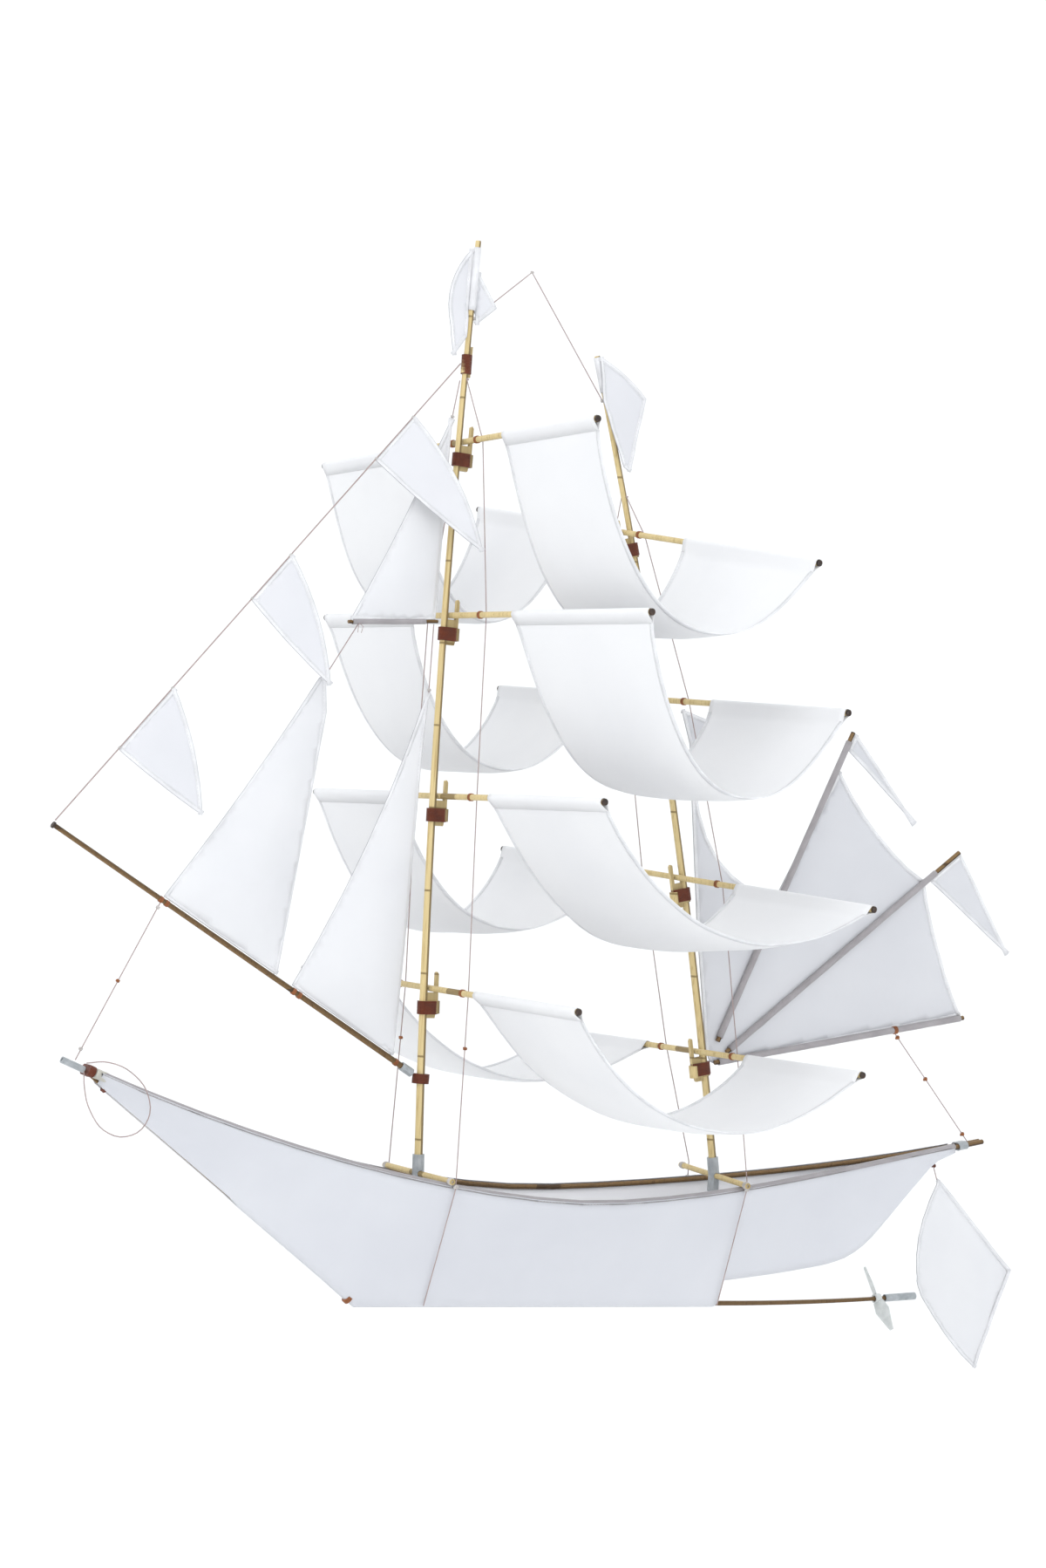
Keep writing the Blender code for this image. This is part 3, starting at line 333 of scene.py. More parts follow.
FINISH = {
    # sail, square_sail and pennant are one nylon in three tones: the square sails are painted lighter and the
    # flags painted darker, painted light and painted shade for the light that comes through the cloth.
    "sail": nylon("sail_nylon", (0.785, 0.787, 0.80), (0.73, 0.735, 0.757), 0.95),
    "square_sail": nylon("painted_light_square_nylon", (0.875, 0.875, 0.88), (0.83, 0.832, 0.845), 0.97),
    "pennant": nylon("painted_shade_pennant_nylon", (0.74, 0.743, 0.77), (0.69, 0.695, 0.725), 0.94),
    "hull": nylon("hull_nylon", (0.66, 0.67, 0.705), (0.615, 0.625, 0.665)),
    # Painted light: a lighter copy of the hull nylon for the skins' inner side, standing in for the light that
    # comes through the cloth.
    "hull_inside_painted_light": nylon("hull_inside_painted_light", (0.88, 0.88, 0.90), (0.84, 0.84, 0.865)),
    "spanker": nylon("spanker_nylon", (0.65, 0.655, 0.68), (0.60, 0.607, 0.637)),
    "white_hem": hem_cloth("white_hem", (0.755, 0.757, 0.775), (0.60, 0.60, 0.62)),
    "grey_hem": hem_cloth("grey_hem", (0.34, 0.32, 0.33), (0.52, 0.50, 0.50)),
    "rigging": thread("rigging_thread", (0.50, 0.40, 0.38), (0.34, 0.26, 0.25)),
    "lashing": thread("lashing_thread", (0.22, 0.046, 0.013), (0.09, 0.018, 0.006), 0.5),
    "ring": thread("ring_thread", (0.42, 0.15, 0.045), (0.22, 0.07, 0.02), 0.4),
    "knot": thread("knot_thread", (0.72, 0.70, 0.68), (0.45, 0.42, 0.40)),
    "piping": thread("edge_thread", (0.46, 0.455, 0.48), (0.36, 0.355, 0.38)),
    # Painted shade: near black for the inside of a rod's hollow end, which is only a shallow dish.
    "hollow_shade": moulded("painted_shade_hollow", (0.045, 0.022, 0.012), (0.015, 0.008, 0.005)),
    "vinyl": vinyl("vinyl_tube", (0.50, 0.53, 0.55), (0.34, 0.37, 0.39)),
    "tape": vinyl("bow_tape", (0.66, 0.64, 0.55), (0.50, 0.49, 0.44)),
    "plastic": moulded("propeller_plastic", (0.60, 0.62, 0.61), (0.50, 0.52, 0.51)),
}
BAMBOO = {
    "pale_bamboo": ((0.66, 0.53, 0.27), (0.38, 0.25, 0.09)),
    "brown_bamboo": ((0.21, 0.125, 0.048), (0.085, 0.042, 0.015)),
}

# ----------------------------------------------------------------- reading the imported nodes

THREAD_NOTCH = 0.0016       # corners nearer than this are a notch that a thread leaves
MAST_BAND = 0.06            # how near a height a mast's vertices are read
SHROUD_BAND = 0.012         # how near a height a shroud's vertices are read


def vertices_of(node):
    return np.array([vertex.co[:] for vertex in NODES[node].data.vertices])


def axis_of(node):
    """A straight rod's centreline, as its two ends, lowest x, y or z first, and its radius."""
    points = vertices_of(node)
    centre = (points.max(axis=0) + points.min(axis=0)) / 2
    axis = np.linalg.svd(points - points.mean(axis=0), full_matrices=False)[2][0]
    axis = axis * np.sign(axis[np.argmax(np.abs(axis))])
    reach = (points - centre) @ axis
    off = points - centre - np.outer(reach, axis)
    radius = float(np.sqrt((off ** 2).sum(axis=1)).max())
    return Vector(centre + axis * reach.min()), Vector(centre + axis * reach.max()), radius


def section(node, x):
    """Where a node's surface crosses the plane at x, as points from the lowest to the highest."""
    mesh = NODES[node].data
    points = []
    for edge in mesh.edges:
        a, b = (mesh.vertices[i].co for i in edge.vertices)
        if (a.x - x) * (b.x - x) < 0:
            points.append(a + (b - a) * ((x - a.x) / (b.x - a.x)))
    return sorted(points, key=lambda point: point.z)


def flat_outlines(node, count=1):
    """The largest flat sides of a cloth solid: the corners of each in order, and the normal."""
    mesh = NODES[node].data
    normal = max(mesh.polygons, key=lambda face: face.area).normal.copy()
    if normal.y > 0:
        normal.negate()
    follow = {}
    for face in mesh.polygons:
        if face.normal.dot(normal) < 0.9995:
            continue
        ring = [tuple(round(c, 5) for c in mesh.vertices[i].co) for i in face.vertices]
        for a, b in zip(ring, ring[1:] + ring[:1]):
            if a in follow.get(b, ()):
                follow[b].remove(a)
            else:
                follow.setdefault(a, []).append(b)
    loops = []
    while any(follow.values()):
        at = next(a for a, b in follow.items() if b)
        loop = []
        while follow.get(at):
            loop.append(at)
            at = follow[at].pop()
        length = sum(math.dist(a, b) for a, b in zip(loop, loop[1:] + loop[:1]))
        loops.append((length, tidy_corners([Vector(point) for point in loop])))
    loops.sort(key=lambda item: -item[0])
    return [loop for _, loop in loops[:count]], normal


def tidy_corners(loop):
    """Drop corners that stand closer together than the notch that a thread leaves."""
    kept = []
    for point in loop:
        if not kept or (point - kept[-1]).length > THREAD_NOTCH:
            kept.append(point)
    return kept


def on_line(start, axis, value, index):
    """The place on a line where its coordinate number index has a value."""
    return start + axis * ((value - start[index]) / axis[index])


def lengths_along(points):
    """How far along a polyline each of its points lies."""
    return list(itertools.accumulate(((b - a).length for a, b in zip(points, points[1:])), initial=0.0))


def joint_of(body):
    """A body's own joint: where it is, and its axis."""
    joint = next(j for j in frame["joints"] if j["child"] == body)
    return Vector(joint["pos_m"]), Vector(joint["axis"]).normalized()


# ------------------------------------------------------------------------ making pieces

LINE_ROUNDNESS = 2          # bevel resolution of a thread
WOUND_ON = 0.0001           # how far a winding stands off its rod
RING_WIDTH = 0.0034         # of a thread ring on a yard or the bowsprit
HEM_WIDTH = 0.0032
HEM_THICKNESS = 0.0011


def finish_piece(piece, body, finish, replaces=()):
    """Smooth a new piece, give it its material and slot, and let it ride on its body."""
    if piece.type == "MESH":
        piece.data.shade_smooth()
    piece.data.materials.append(FINISH[finish])
    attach(piece, body)
    if replaces:
        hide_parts(*replaces)
    return piece


def add_mesh(name, points, faces, uvs=None):
    mesh = bpy.data.meshes.new(name)
    mesh.from_pydata([tuple(point) for point in points], [], faces)
    if uvs:
        layer = mesh.uv_layers.new(name="cloth")
        for loop in mesh.loops:
            layer.data[loop.index].uv = uvs[loop.vertex_index]
    piece = bpy.data.objects.new(name, mesh)
    bpy.context.scene.collection.objects.link(piece)
    return piece


def add_line(name, points, radius, body, finish, closed=False, replaces=()):
    """A round line through points, such as a thread."""
    curve = bpy.data.curves.new(name, "CURVE")
    curve.dimensions = "3D"
    curve.bevel_depth = radius
    curve.bevel_resolution = LINE_ROUNDNESS
    curve.use_fill_caps = True
    spline = curve.splines.new("POLY")
    spline.points.add(len(points) - 1)
    spline.use_cyclic_u = closed
    for knot, place in zip(spline.points, points):
        knot.co = (*place, 1.0)
    piece = bpy.data.objects.new(name, curve)
    bpy.context.scene.collection.objects.link(piece)
    return finish_piece(piece, body, finish, replaces)


def thicken(piece, thickness):
    made = piece.modifiers.new("thickness", "SOLIDIFY")
    made.thickness = thickness
    made.offset = 0.0


def square_frame(axis, toward):
    """Two unit vectors square to axis, the first as near to toward as can be."""
    axis = axis.normalized()
    first = (toward - axis * toward.dot(axis)).normalized()
    return first, axis.cross(first)


def loft(name, rings, caps=True, uvs=None):
    """A skin over rings of equal counts."""
    count = len(rings[0])
    faces = []
    for row in range(len(rings) - 1):
        for column in range(count):
            after = (column + 1) % count
            faces.append((row * count + column, row * count + after,
                          (row + 1) * count + after, (row + 1) * count + column))
    if caps:
        faces.append(tuple(range(count))[::-1])
        faces.append(tuple((len(rings) - 1) * count + column for column in range(count)))
    return add_mesh(name, [point for ring in rings for point in ring], faces, uvs)


def winding(name, place, axis, radius, width, body, finish="ring", turns=4, strand=0.0005, reach=None):
    """Thread wound round a rod, or round a rod and what lies beside it at reach.

    The turns show as rounded ridges. reach is a vector from the rod's axis to the far side's."""
    toward = reach if reach else Vector((0.3, 0.2, 1.0))
    first, second = square_frame(axis, toward)
    axis = axis.normalized()
    length = reach.length if reach else 0.0
    outline = []
    for centre, start in ((length, -90.0), (0.0, 90.0)):
        for step in range(13):
            angle = math.radians(start + 180.0 * step / 12)
            outline.append((centre, math.cos(angle), math.sin(angle)))
    rings = []
    steps = turns * 6
    for step in range(steps + 1):
        along = (step / steps - 0.5) * width
        phase = (step / 6) % 1.0
        bulge = math.sqrt(max(0.0, 1.0 - (2 * phase - 1) ** 2))
        out = radius + strand * (0.25 + 0.75 * bulge)
        if step in (0, steps):
            out = radius
        ring = []
        for index, (centre, across, beside) in enumerate(outline):
            wobble = 1.0 + 0.03 * noise.noise(Vector((index * 0.4, step * 0.5, place[0] * 90)))
            middle = place + axis * along + first * centre
            ring.append(middle + (first * across + second * beside) * out * wobble)
        rings.append(ring)
    piece = loft(name, rings)
    return finish_piece(piece, body, finish)


def knot(name, place, size, body, finish="knot", axis=UP):
    """A small pulled-tight overhand knot."""
    first, second = square_frame(axis, Vector((0.31, 0.87, 0.2)))
    axis = axis.normalized()
    points = []
    for step in range(36):
        t = 2 * math.pi * step / 36
        x = (math.sin(t) + 2 * math.sin(2 * t)) / 3
        y = (math.cos(t) - 2 * math.cos(2 * t)) / 3
        z = -math.sin(3 * t) / 2
        points.append(Vector(place) + (first * x + second * y) * size / 2 + axis * z * size / 2)
    return add_line(name, points, size * 0.27, body, finish, closed=True)


# ------------------------------------------------------------------------------- cloth


def billow(points, edges, held, depth):
    """How far each vertex stands off a stretched membrane that is fixed where held is true."""
    first, second = np.array(edges).T
    count = len(points)
    degree = np.bincount(first, minlength=count) + np.bincount(second, minlength=count)
    height = np.zeros(count)
    free = ~np.array(held)
    for _ in range(900):
        total = np.bincount(first, weights=height[second], minlength=count)
        total += np.bincount(second, weights=height[first], minlength=count)
        height = np.where(free, total / degree + 1.0, 0.0)
    return height / max(height.max(), 1e-9) * depth


def resample(corners, spacing):
    """Points round a closed outline, spacing apart or a little less or more."""
    points = []
    for a, b in zip(corners, corners[1:] + corners[:1]):
        steps = max(1, round((b - a).length / spacing))
        points += [a + (b - a) * (step / steps) for step in range(steps)]
    return points


def lattice(flat, spacing):
    """Points on a triangular grid inside a flat outline, clear of its edge."""
    low = [min(p[i] for p in flat) for i in (0, 1)]
    high = [max(p[i] for p in flat) for i in (0, 1)]
    inside = []
    row, y = 0, low[1]
    while y < high[1]:
        x = low[0] + (spacing / 2 if row % 2 else 0.0)
        while x < high[0]:
            crossings = 0
            nearest = 1e9
            for a, b in zip(flat, flat[1:] + flat[:1]):
                nearest = min(nearest, math.hypot(a.x - x, a.y - y))
                if (a.y > y) != (b.y > y) and x < a.x + (b.x - a.x) * (y - a.y) / (b.y - a.y):
                    crossings += 1
            if crossings % 2 and nearest > spacing * 0.55:
                inside.append(Vector((x, y)))
            x += spacing
        y += spacing * 0.866
        row += 1
    return inside


def bow_out(outline, amount_of):
    """The outline with its sides bowed outwards; amount_of(start, end) is each side's depth."""
    middle = sum(outline, Vector()) / len(outline)
    bowed = []
    for a, b in zip(outline, outline[1:] + outline[:1]):
        amount = amount_of(a, b)
        bowed.append(a)
        if amount:
            axis = (b - a).normalized()
            away = (a + b) / 2 - middle
            out = (away - axis * away.dot(axis)).normalized()
            for step in range(1, 8):
                t = step / 8
                bowed.append(a.lerp(b, t) + out * (4 * t * (1 - t) * amount))
    return bowed


def flat_cloth(name, outline, normal, body, finish, depth, held=None, spacing=0.006,
               ripple=0.0006, shape=None, replaces=()):
    """Cloth cut to a flat outline, billowed by depth along its normal, with hems all round.

    held(place, on_border) says which of its points can't move."""
    normal = normal.normalized()
    across = (outline[1] - outline[0]).normalized()
    up = normal.cross(across)
    origin = sum(outline, Vector()) / len(outline)
    border = resample(outline, spacing)
    flat = [Vector(((p - origin).dot(across), (p - origin).dot(up))) for p in border]
    rim = [(i, (i + 1) % len(flat)) for i in range(len(flat))]
    cut = geometry.delaunay_2d_cdt(flat + lattice(flat, spacing), rim, [], 1, 1e-7)
    places, edges, faces = cut[0], cut[1], cut[2]
    fixed, worlds = [], []
    for index, p in enumerate(places):
        world = origin + across * p.x + up * p.y
        worlds.append(world)
        on_border = index < len(flat)
        fixed.append(bool(held(world, on_border) if held else on_border))
    stand = billow(places, edges, fixed, depth)
    points = []
    for world, off in zip(worlds, stand):
        share = off / depth if depth else 0.0
        flutter = noise.noise(world * 34.0) + 0.5 * noise.noise(world * 71.0)
        moved = world + normal * (off + ripple * flutter * share)
        points.append(shape(moved, world) if shape else moved)
    piece = add_mesh(name, points, [tuple(face) for face in faces], [(p.x, p.y) for p in places])
    width = max(p.x for p in flat) - min(p.x for p in flat)
    height = max(p.y for p in flat) - min(p.y for p in flat)
    turning = sum(a.cross(b) for a, b in zip(flat, flat[1:] + flat[:1])) / 2
    area = abs(turning)
    thicken(piece, FABRIC)
    finish_piece(piece, body, finish, replaces)
    if area < 0.31 * width * height:
        height = area / 0.32 / width
    inward = 1.0 if turning > 0 else -1.0
    sides = []
    for index in range(len(flat)):
        ahead = (flat[(index + 1) % len(flat)] - flat[index]).normalized()
        sides.append((across * -ahead.y + up * ahead.x) * inward)
    border_hems(name, points[:len(flat)], sides, body)
    add_line(f"{name}_edge_thread", points[:len(flat)], 0.0004, body, "piping", closed=True)
    return piece


def border_hems(name, border, sides, body):
    """A hem along each smooth run of a cloth's border."""
    count = len(border)
    turns = []
    for index in range(count):
        before = (border[index] - border[index - 1]).normalized()
        after = (border[(index + 1) % count] - border[index]).normalized()
        turns.append(before.dot(after) < 0.93)
    corners = [index for index in range(count) if turns[index]] or [0]
    for number, (start, stop) in enumerate(zip(corners, corners[1:] + [corners[0] + count])):
        run = [index % count for index in range(start, stop + 1)]
        if len(run) < 3:
            continue
        edge = [border[index] for index in run]
        beside = [border[index] + sides[index] * HEM_WIDTH for index in run[:-1]]
        beside.append(edge[-1] + sides[run[-2]] * HEM_WIDTH)
        hem(f"{name}_hem_{number}", edge, beside, HEM_WIDTH, body)


def hem(name, edge, inward, width, body):
    """A folded hem over a cloth's edge: edge points, and a point inside the cloth beside each."""
    rings, uvs = [], []
    count = len(edge)
    half = HEM_THICKNESS / 2
    shape = [(-0.35 * half, 0.0), (0.0, half), (width * 0.5, half * 1.05), (width, half * 0.9),
             (width, -half * 0.9), (width * 0.5, -half * 1.05), (0.0, -half)]
    for index, (point, length) in enumerate(zip(edge, lengths_along(edge))):
        before, after = edge[max(0, index - 1)], edge[min(count - 1, index + 1)]
        tangent = (after - before).normalized()
        in_cloth = inward[index] - point
        across = (in_cloth - tangent * in_cloth.dot(tangent)).normalized()
        out = tangent.cross(across)
        rings.append([point + across * a + out * b for a, b in shape])
        uvs += [(length, a - width * 0.7) for a, _ in shape]
    return finish_piece(loft(name, rings, uvs=uvs), body, "white_hem")


# -------------------------------------------------------------------------- square sails

SAIL_CUT = {"port": 0.335, "starboard": 0.315}      # along the cloth, from yard to yard
SLEEVE_DEPTH = 0.0095       # from a yard's axis to the stitch line
SLEEVE_CLEAR = 0.0006       # cloth round a yard
SEWN_REACH = 0.0085         # a sail's vertices this near a yard's axis are its sleeve
SAIL_COLUMNS, SAIL_ROWS = 25, 57
HANGING_POINTS = 81
SIDE_HEM_WIDTH = 0.0038
SLEEVE_POINTS = 12          # of each sleeve, which a sail's side hems leave out


def hanging(start, end, length, count):
    """Points along a strip of cloth that hangs between two places."""
    level = Vector((end.x - start.x, end.y - start.y))
    rise = end.z - start.z
    ratio = math.sqrt(length ** 2 - rise ** 2) / level.length
    low, high = 1e-4, 20.0
    for _ in range(50):
        middle = (low + high) / 2
        if math.sinh(middle) / middle < ratio:
            low = middle
        else:
            high = middle
    scale = level.length / (2 * middle)
    lowest = level.length / 2 - scale * math.asinh(rise / (2 * scale * math.sinh(middle)))
    points = []
    for step in range(count):
        t = step / (count - 1)
        sag = math.cosh((level.length * t - lowest) / scale) - math.cosh(lowest / scale)
        points.append(Vector((start.x + level.x * t, start.y + level.y * t, start.z + scale * sag)))
    return points


def spaced_along(points, offsets):
    """Points at given distances along a polyline."""
    lengths = lengths_along(points)
    result = []
    for offset in offsets:
        index = max(1, min(int(np.searchsorted(lengths, offset)), len(points) - 1))
        span = lengths[index] - lengths[index - 1]
        result.append(points[index - 1].lerp(points[index], (offset - lengths[index - 1]) / span))
    return result


def sleeve_section(centre, leave, axis, radius, depth):
    """A fold of cloth round a yard that comes back to its stitch line, depth away."""
    side = axis.cross(leave).normalized()
    touch = math.acos(radius / depth)
    loop = [centre + leave * depth + side * 0.0002]
    for step in range(11):
        angle = touch + (2 * math.pi - 2 * touch) * step / 10
        loop.append(centre + (leave * math.cos(angle) + side * math.sin(angle)) * radius)
    loop.append(centre + leave * depth - side * 0.0002)
    return loop


def square_sail(level, side):
    """One hammock of cloth, sewn round the fore yard and the main yard."""
    node = f"{level}_sail_{side}"
    points = [Vector(p) for p in vertices_of(node)]
    lines = []
    for mast in MASTS:
        start, end, radius = axis_of(f"{mast}_{level}_yard")
        axis = (end - start).normalized()
        near = [p for p in points if ((p - start) - axis * (p - start).dot(axis)).length < SEWN_REACH]
        reaches = [(p - start).dot(axis) for p in near]
        lines.append((start, axis, min(reaches), max(reaches), radius))
    seed = Vector((LEVELS.index(level) * 3.1, SIDES[side] * 1.7, 0.4))
    grid, uvs = [], []
    for column in range(SAIL_COLUMNS):
        share = column / (SAIL_COLUMNS - 1)
        ends = [start + axis * (low + (high - low) * share) for start, axis, low, high, _ in lines]
        path = hanging(ends[0], ends[1], SAIL_CUT[side], HANGING_POINTS)
        free = lengths_along(path)[-1] - 2 * SLEEVE_DEPTH
        offsets = [SLEEVE_DEPTH + free * row / (SAIL_ROWS - 1) for row in range(SAIL_ROWS)]
        belly = spaced_along(path, offsets)
        outer_edge = share if SIDES[side] > 0 else 1.0 - share
        axis = lines[0][1]
        for row in range(SAIL_ROWS):
            arch = math.sin(math.pi * row / (SAIL_ROWS - 1))
            inset = 0.009 * arch ** 0.6 * ((2 * share - 1) ** 3)
            crease = 0.0016 * noise.noise(belly[row] * 17.0 + seed) * arch
            lift = 0.0045 * arch * (2 * outer_edge - 1) ** 4
            belly[row] = belly[row] - axis * inset + UP * (lift + crease)
        head = sleeve_section(ends[0], (belly[0] - ends[0]).normalized(), axis,
                              lines[0][4] + SLEEVE_CLEAR, SLEEVE_DEPTH)
        foot = sleeve_section(ends[1], (belly[-1] - ends[1]).normalized(), lines[1][1],
                              lines[1][4] + SLEEVE_CLEAR, SLEEVE_DEPTH)
        line = head[:-1] + belly + foot[1:]
        grid.append(line)
        uvs += [(share * 0.16, run) for run in lengths_along(line)]
    count = len(grid[0])
    faces = []
    for column in range(SAIL_COLUMNS - 1):
        for row in range(count - 1):
            corner = column * count + row
            faces.append((corner, corner + 1, corner + count + 1, corner + count))
    piece = add_mesh(node + "_cloth", [p for line in grid for p in line], faces, uvs)
    thicken(piece, FABRIC)
    body = BODY_OF[node]
    finish_piece(piece, body, "square_sail", [node])
    belly_only = slice(SLEEVE_POINTS, -SLEEVE_POINTS)
    for number, (edge, inner) in enumerate(((grid[0], grid[1]), (grid[-1], grid[-2]))):
        hem(f"{node}_side_hem_{number}", edge[belly_only], inner[belly_only], SIDE_HEM_WIDTH, body)


def yard_rings(level):
    """Thread rings where the shrouds are tied to the yards."""
    for mast in MASTS:
        node = f"{mast}_{level}_yard"
        start, end, radius = axis_of(node)
        axis = (end - start).normalized()
        shrouds = vertices_of(f"{mast}_shrouds")
        middle = on_line(start, axis, 0.0, 1).z
        near = shrouds[np.abs(shrouds[:, 2] - middle) < SHROUD_BAND]
        for side, sign in SIDES.items():
            beside = near[near[:, 1] * sign > 0.005]
            reach = float(beside[:, 1].mean()) if len(beside) else sign * 0.05
            place = on_line(start, axis, reach, 1)
            winding(f"{node}_ring_{side}", place, axis, radius + WOUND_ON, RING_WIDTH, BODY_OF[node],
                    strand=0.0006)


# --------------------------------------------------------------------- masts and lashings

CRUTCH_DROP = 0.0165        # from a yard's axis down to the lashing's middle
CRUTCH_REACH = 0.0098       # from the mast's centre to the middle of the crutch's far face
LASHING_WIDTH = 0.0116
MAST_SIDE = {"fore": 1, "main": -1}
YARD_OFF_MAST = 0.0007
COLLAR_WALL = 0.0014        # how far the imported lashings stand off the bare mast
FOOT_RADIUS = 0.0036        # the masts' half width low down


def yard_pivot(mast, level):
    start, end, radius = axis_of(f"{mast}_{level}_yard")
    axis = (end - start).normalized()
    return on_line(start, axis, 0.0, 1), radius


def mast_lashings(mast):
    """The red-brown lashing that binds each crutch to its mast."""
    pivots = [yard_pivot(mast, level) for level in LEVELS]
    heights = [place.z for place, _ in pivots]
    xs = [place.x for place, _ in pivots]
    curve = np.polyfit(heights, xs, 2)
    for level, (place, yard_radius) in zip(LEVELS, pivots):
        slope = 2 * curve[0] * place.z + curve[1]
        upward = Vector((slope, 0.0, 1.0)).normalized()
        outward = Vector((upward.z, 0.0, -upward.x)) * MAST_SIDE[mast]
        radius = mast_radius(mast, place.z)
        centre = place - outward * (radius + YARD_OFF_MAST + yard_radius)
        middle = centre - upward * CRUTCH_DROP
        winding(f"{mast}_{level}_lashing", middle, upward, radius + COLLAR_WALL + WOUND_ON, LASHING_WIDTH,
                "frame", "lashing", turns=15, strand=0.0005,
                reach=outward * (CRUTCH_REACH - radius * 0.4))


def mast_radius(mast, height):
    """The bare mast's half width, read from the wider lashings near a height."""
    points = vertices_of(f"{mast}mast")
    near = points[np.abs(points[:, 2] - height) < MAST_BAND]
    return float(np.abs(near[:, 1]).max()) - COLLAR_WALL


# --------------------------------------------------------------------------------- hull

GUNWALE_HEM = 0.0012
HULL_HOLLOW = 0.0022        # how far a stretched panel draws in between its edges
HULL_ROWS = 14
STATION_STEP = 0.009
COUNTER_SPREAD = 0.016      # how far the counter's straight segments are smoothed
FOLD_POINTS = 5             # of the cloth that goes over the gunwale
FOLD_TURN = {"port": 22.0, "starboard": 13.0}       # degrees between them
HEM_TURN = {"port": 12.0, "starboard": 7.0}


def rod_at(node, x):
    """Centre and radius of a rod that runs along the ship, at x."""
    ring = section(node, x)
    heights = [point.z for point in ring]
    sides = [point.y for point in ring]
    centre = Vector((x, (max(sides) + min(sides)) / 2, (max(heights) + min(heights)) / 2))
    return centre, (max(sides) - min(sides)) / 2


def stations(low, high, step, sharp=()):
    count = max(2, round((high - low) / step))
    places = [low + (high - low) * i / count for i in range(count + 1)]
    return sorted(places + [x for x in sharp if low < x < high])


def hull_skin(side):
    """One side of the hull, from under the keel up to and over the gunwale."""
    node = f"hull_skin_{side}"
    sign = SIDES[side]
    low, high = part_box(node)
    keel_end = counter_start(node)
    grid, tops = [], []
    spread = COUNTER_SPREAD
    step_up = (keel_end - 0.0006, keel_end + 0.0022)
    for x in stations(low.x + 0.0012, high.x - 0.0012, STATION_STEP, step_up):
        cut = section(node, x)
        foot, top = cut[0], cut[-1]
        if keel_end + spread < x < high.x - 2 * spread:
            shifts = (-spread, -spread / 2, 0.0, spread / 2, spread)
            around = [section(node, x + shift)[0] for shift in shifts]
            foot = Vector((x, foot.y, sum(point.z for point in around) / len(around)))
        rod, radius = rod_at(f"gunwale_{side}", x)
        line = []
        deep = (top - foot).length
        if foot.z < 0.6 * rod.z:
            line.append(Vector((x, sign * 0.0002, foot.z - 0.0018)))
        else:
            line.append(Vector((x, foot.y, foot.z - 0.0004)))
        for row in range(HULL_ROWS):
            t = row / (HULL_ROWS - 1)
            point = foot.lerp(top, t)
            arch = math.sin(math.pi * t)
            ripple = 0.0007 * noise.noise(Vector((x * 21.0, t * 4.0, sign * 5.0)))
            hollow = HULL_HOLLOW * min(1.0, deep / 0.08)
            line.append(point - Vector((0.0, sign * arch * (hollow + ripple), 0.0)))
        reach = radius + 0.0009
        for step in range(1, FOLD_POINTS + 1):
            angle = math.radians(18.0 + FOLD_TURN[side] * step)
            line.append(rod + Vector((0.0, sign * math.cos(angle), math.sin(angle))) * reach)
        grid.append(line)
        tops.append((rod, reach))
    count = len(grid[0])
    faces, uvs = [], []
    for column, line in enumerate(grid):
        for row, (point, run) in enumerate(zip(line, lengths_along(line))):
            uvs.append((point.x, run))
            if column and row:
                corner = column * count + row
                quad = (corner - count - 1, corner - 1, corner, corner - count)
                faces.append(quad if side == "port" else quad[::-1])
    piece = add_mesh(node + "_cloth", [p for line in grid for p in line], faces, uvs)
    thicken(piece, FABRIC)
    finish_piece(piece, "frame", "hull", [node])
    # The inner side gets the lighter copy of the nylon: painted light for the light that comes through the cloth.
    piece.data.materials.append(FINISH["hull_inside_painted_light"])
    piece.modifiers["thickness"].material_offset = 1
    gunwale_hem(side, grid, tops)


def gunwale_hem(side, grid, tops):
    """The doubled hem that folds over the gunwale: grey on the port side, hull nylon on the starboard side."""
    sign = SIDES[side]
    rings, uvs = [], []
    for line, (rod, reach), length in zip(grid, tops, lengths_along([rod for rod, _ in tops])):
        outside, inside = [], []
        start = line[-FOLD_POINTS - 1]
        below = (line[-FOLD_POINTS - 3] - start).normalized()
        for share in (1.0, 0.66, 0.33):
            place = start + below * GUNWALE_HEM * share
            outside.append(place + Vector((0.0, sign * 0.0006, 0.0)))
            inside.append(place + Vector((0.0, sign * 0.0001, 0.0)))
        for step in range(0, 9):
            angle = math.radians(HEM_TURN[side] * step)
            ray = Vector((0.0, sign * math.cos(angle), math.sin(angle)))
            outside.append(rod + ray * (reach + 0.0007))
            inside.append(rod + ray * (reach + 0.0002))
        ring = outside + inside[::-1]
        rings.append(ring)
        uvs += [(length, run - GUNWALE_HEM * 0.35) for run in lengths_along(ring)]
    if side == "starboard":
        rings = [ring[::-1] for ring in rings]
    piece = loft(f"gunwale_hem_{side}", rings, uvs=uvs)
    finish_piece(piece, "frame", "grey_hem" if side == "port" else "hull")


def counter_start(node):
    """Where the keel's cloth ends and the counter steps up."""
    _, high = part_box(node)
    for x in stations(0.0, high.x * 0.6, 0.001):
        if section(node, x)[0].z > 0.01:
            return x
    return high.x


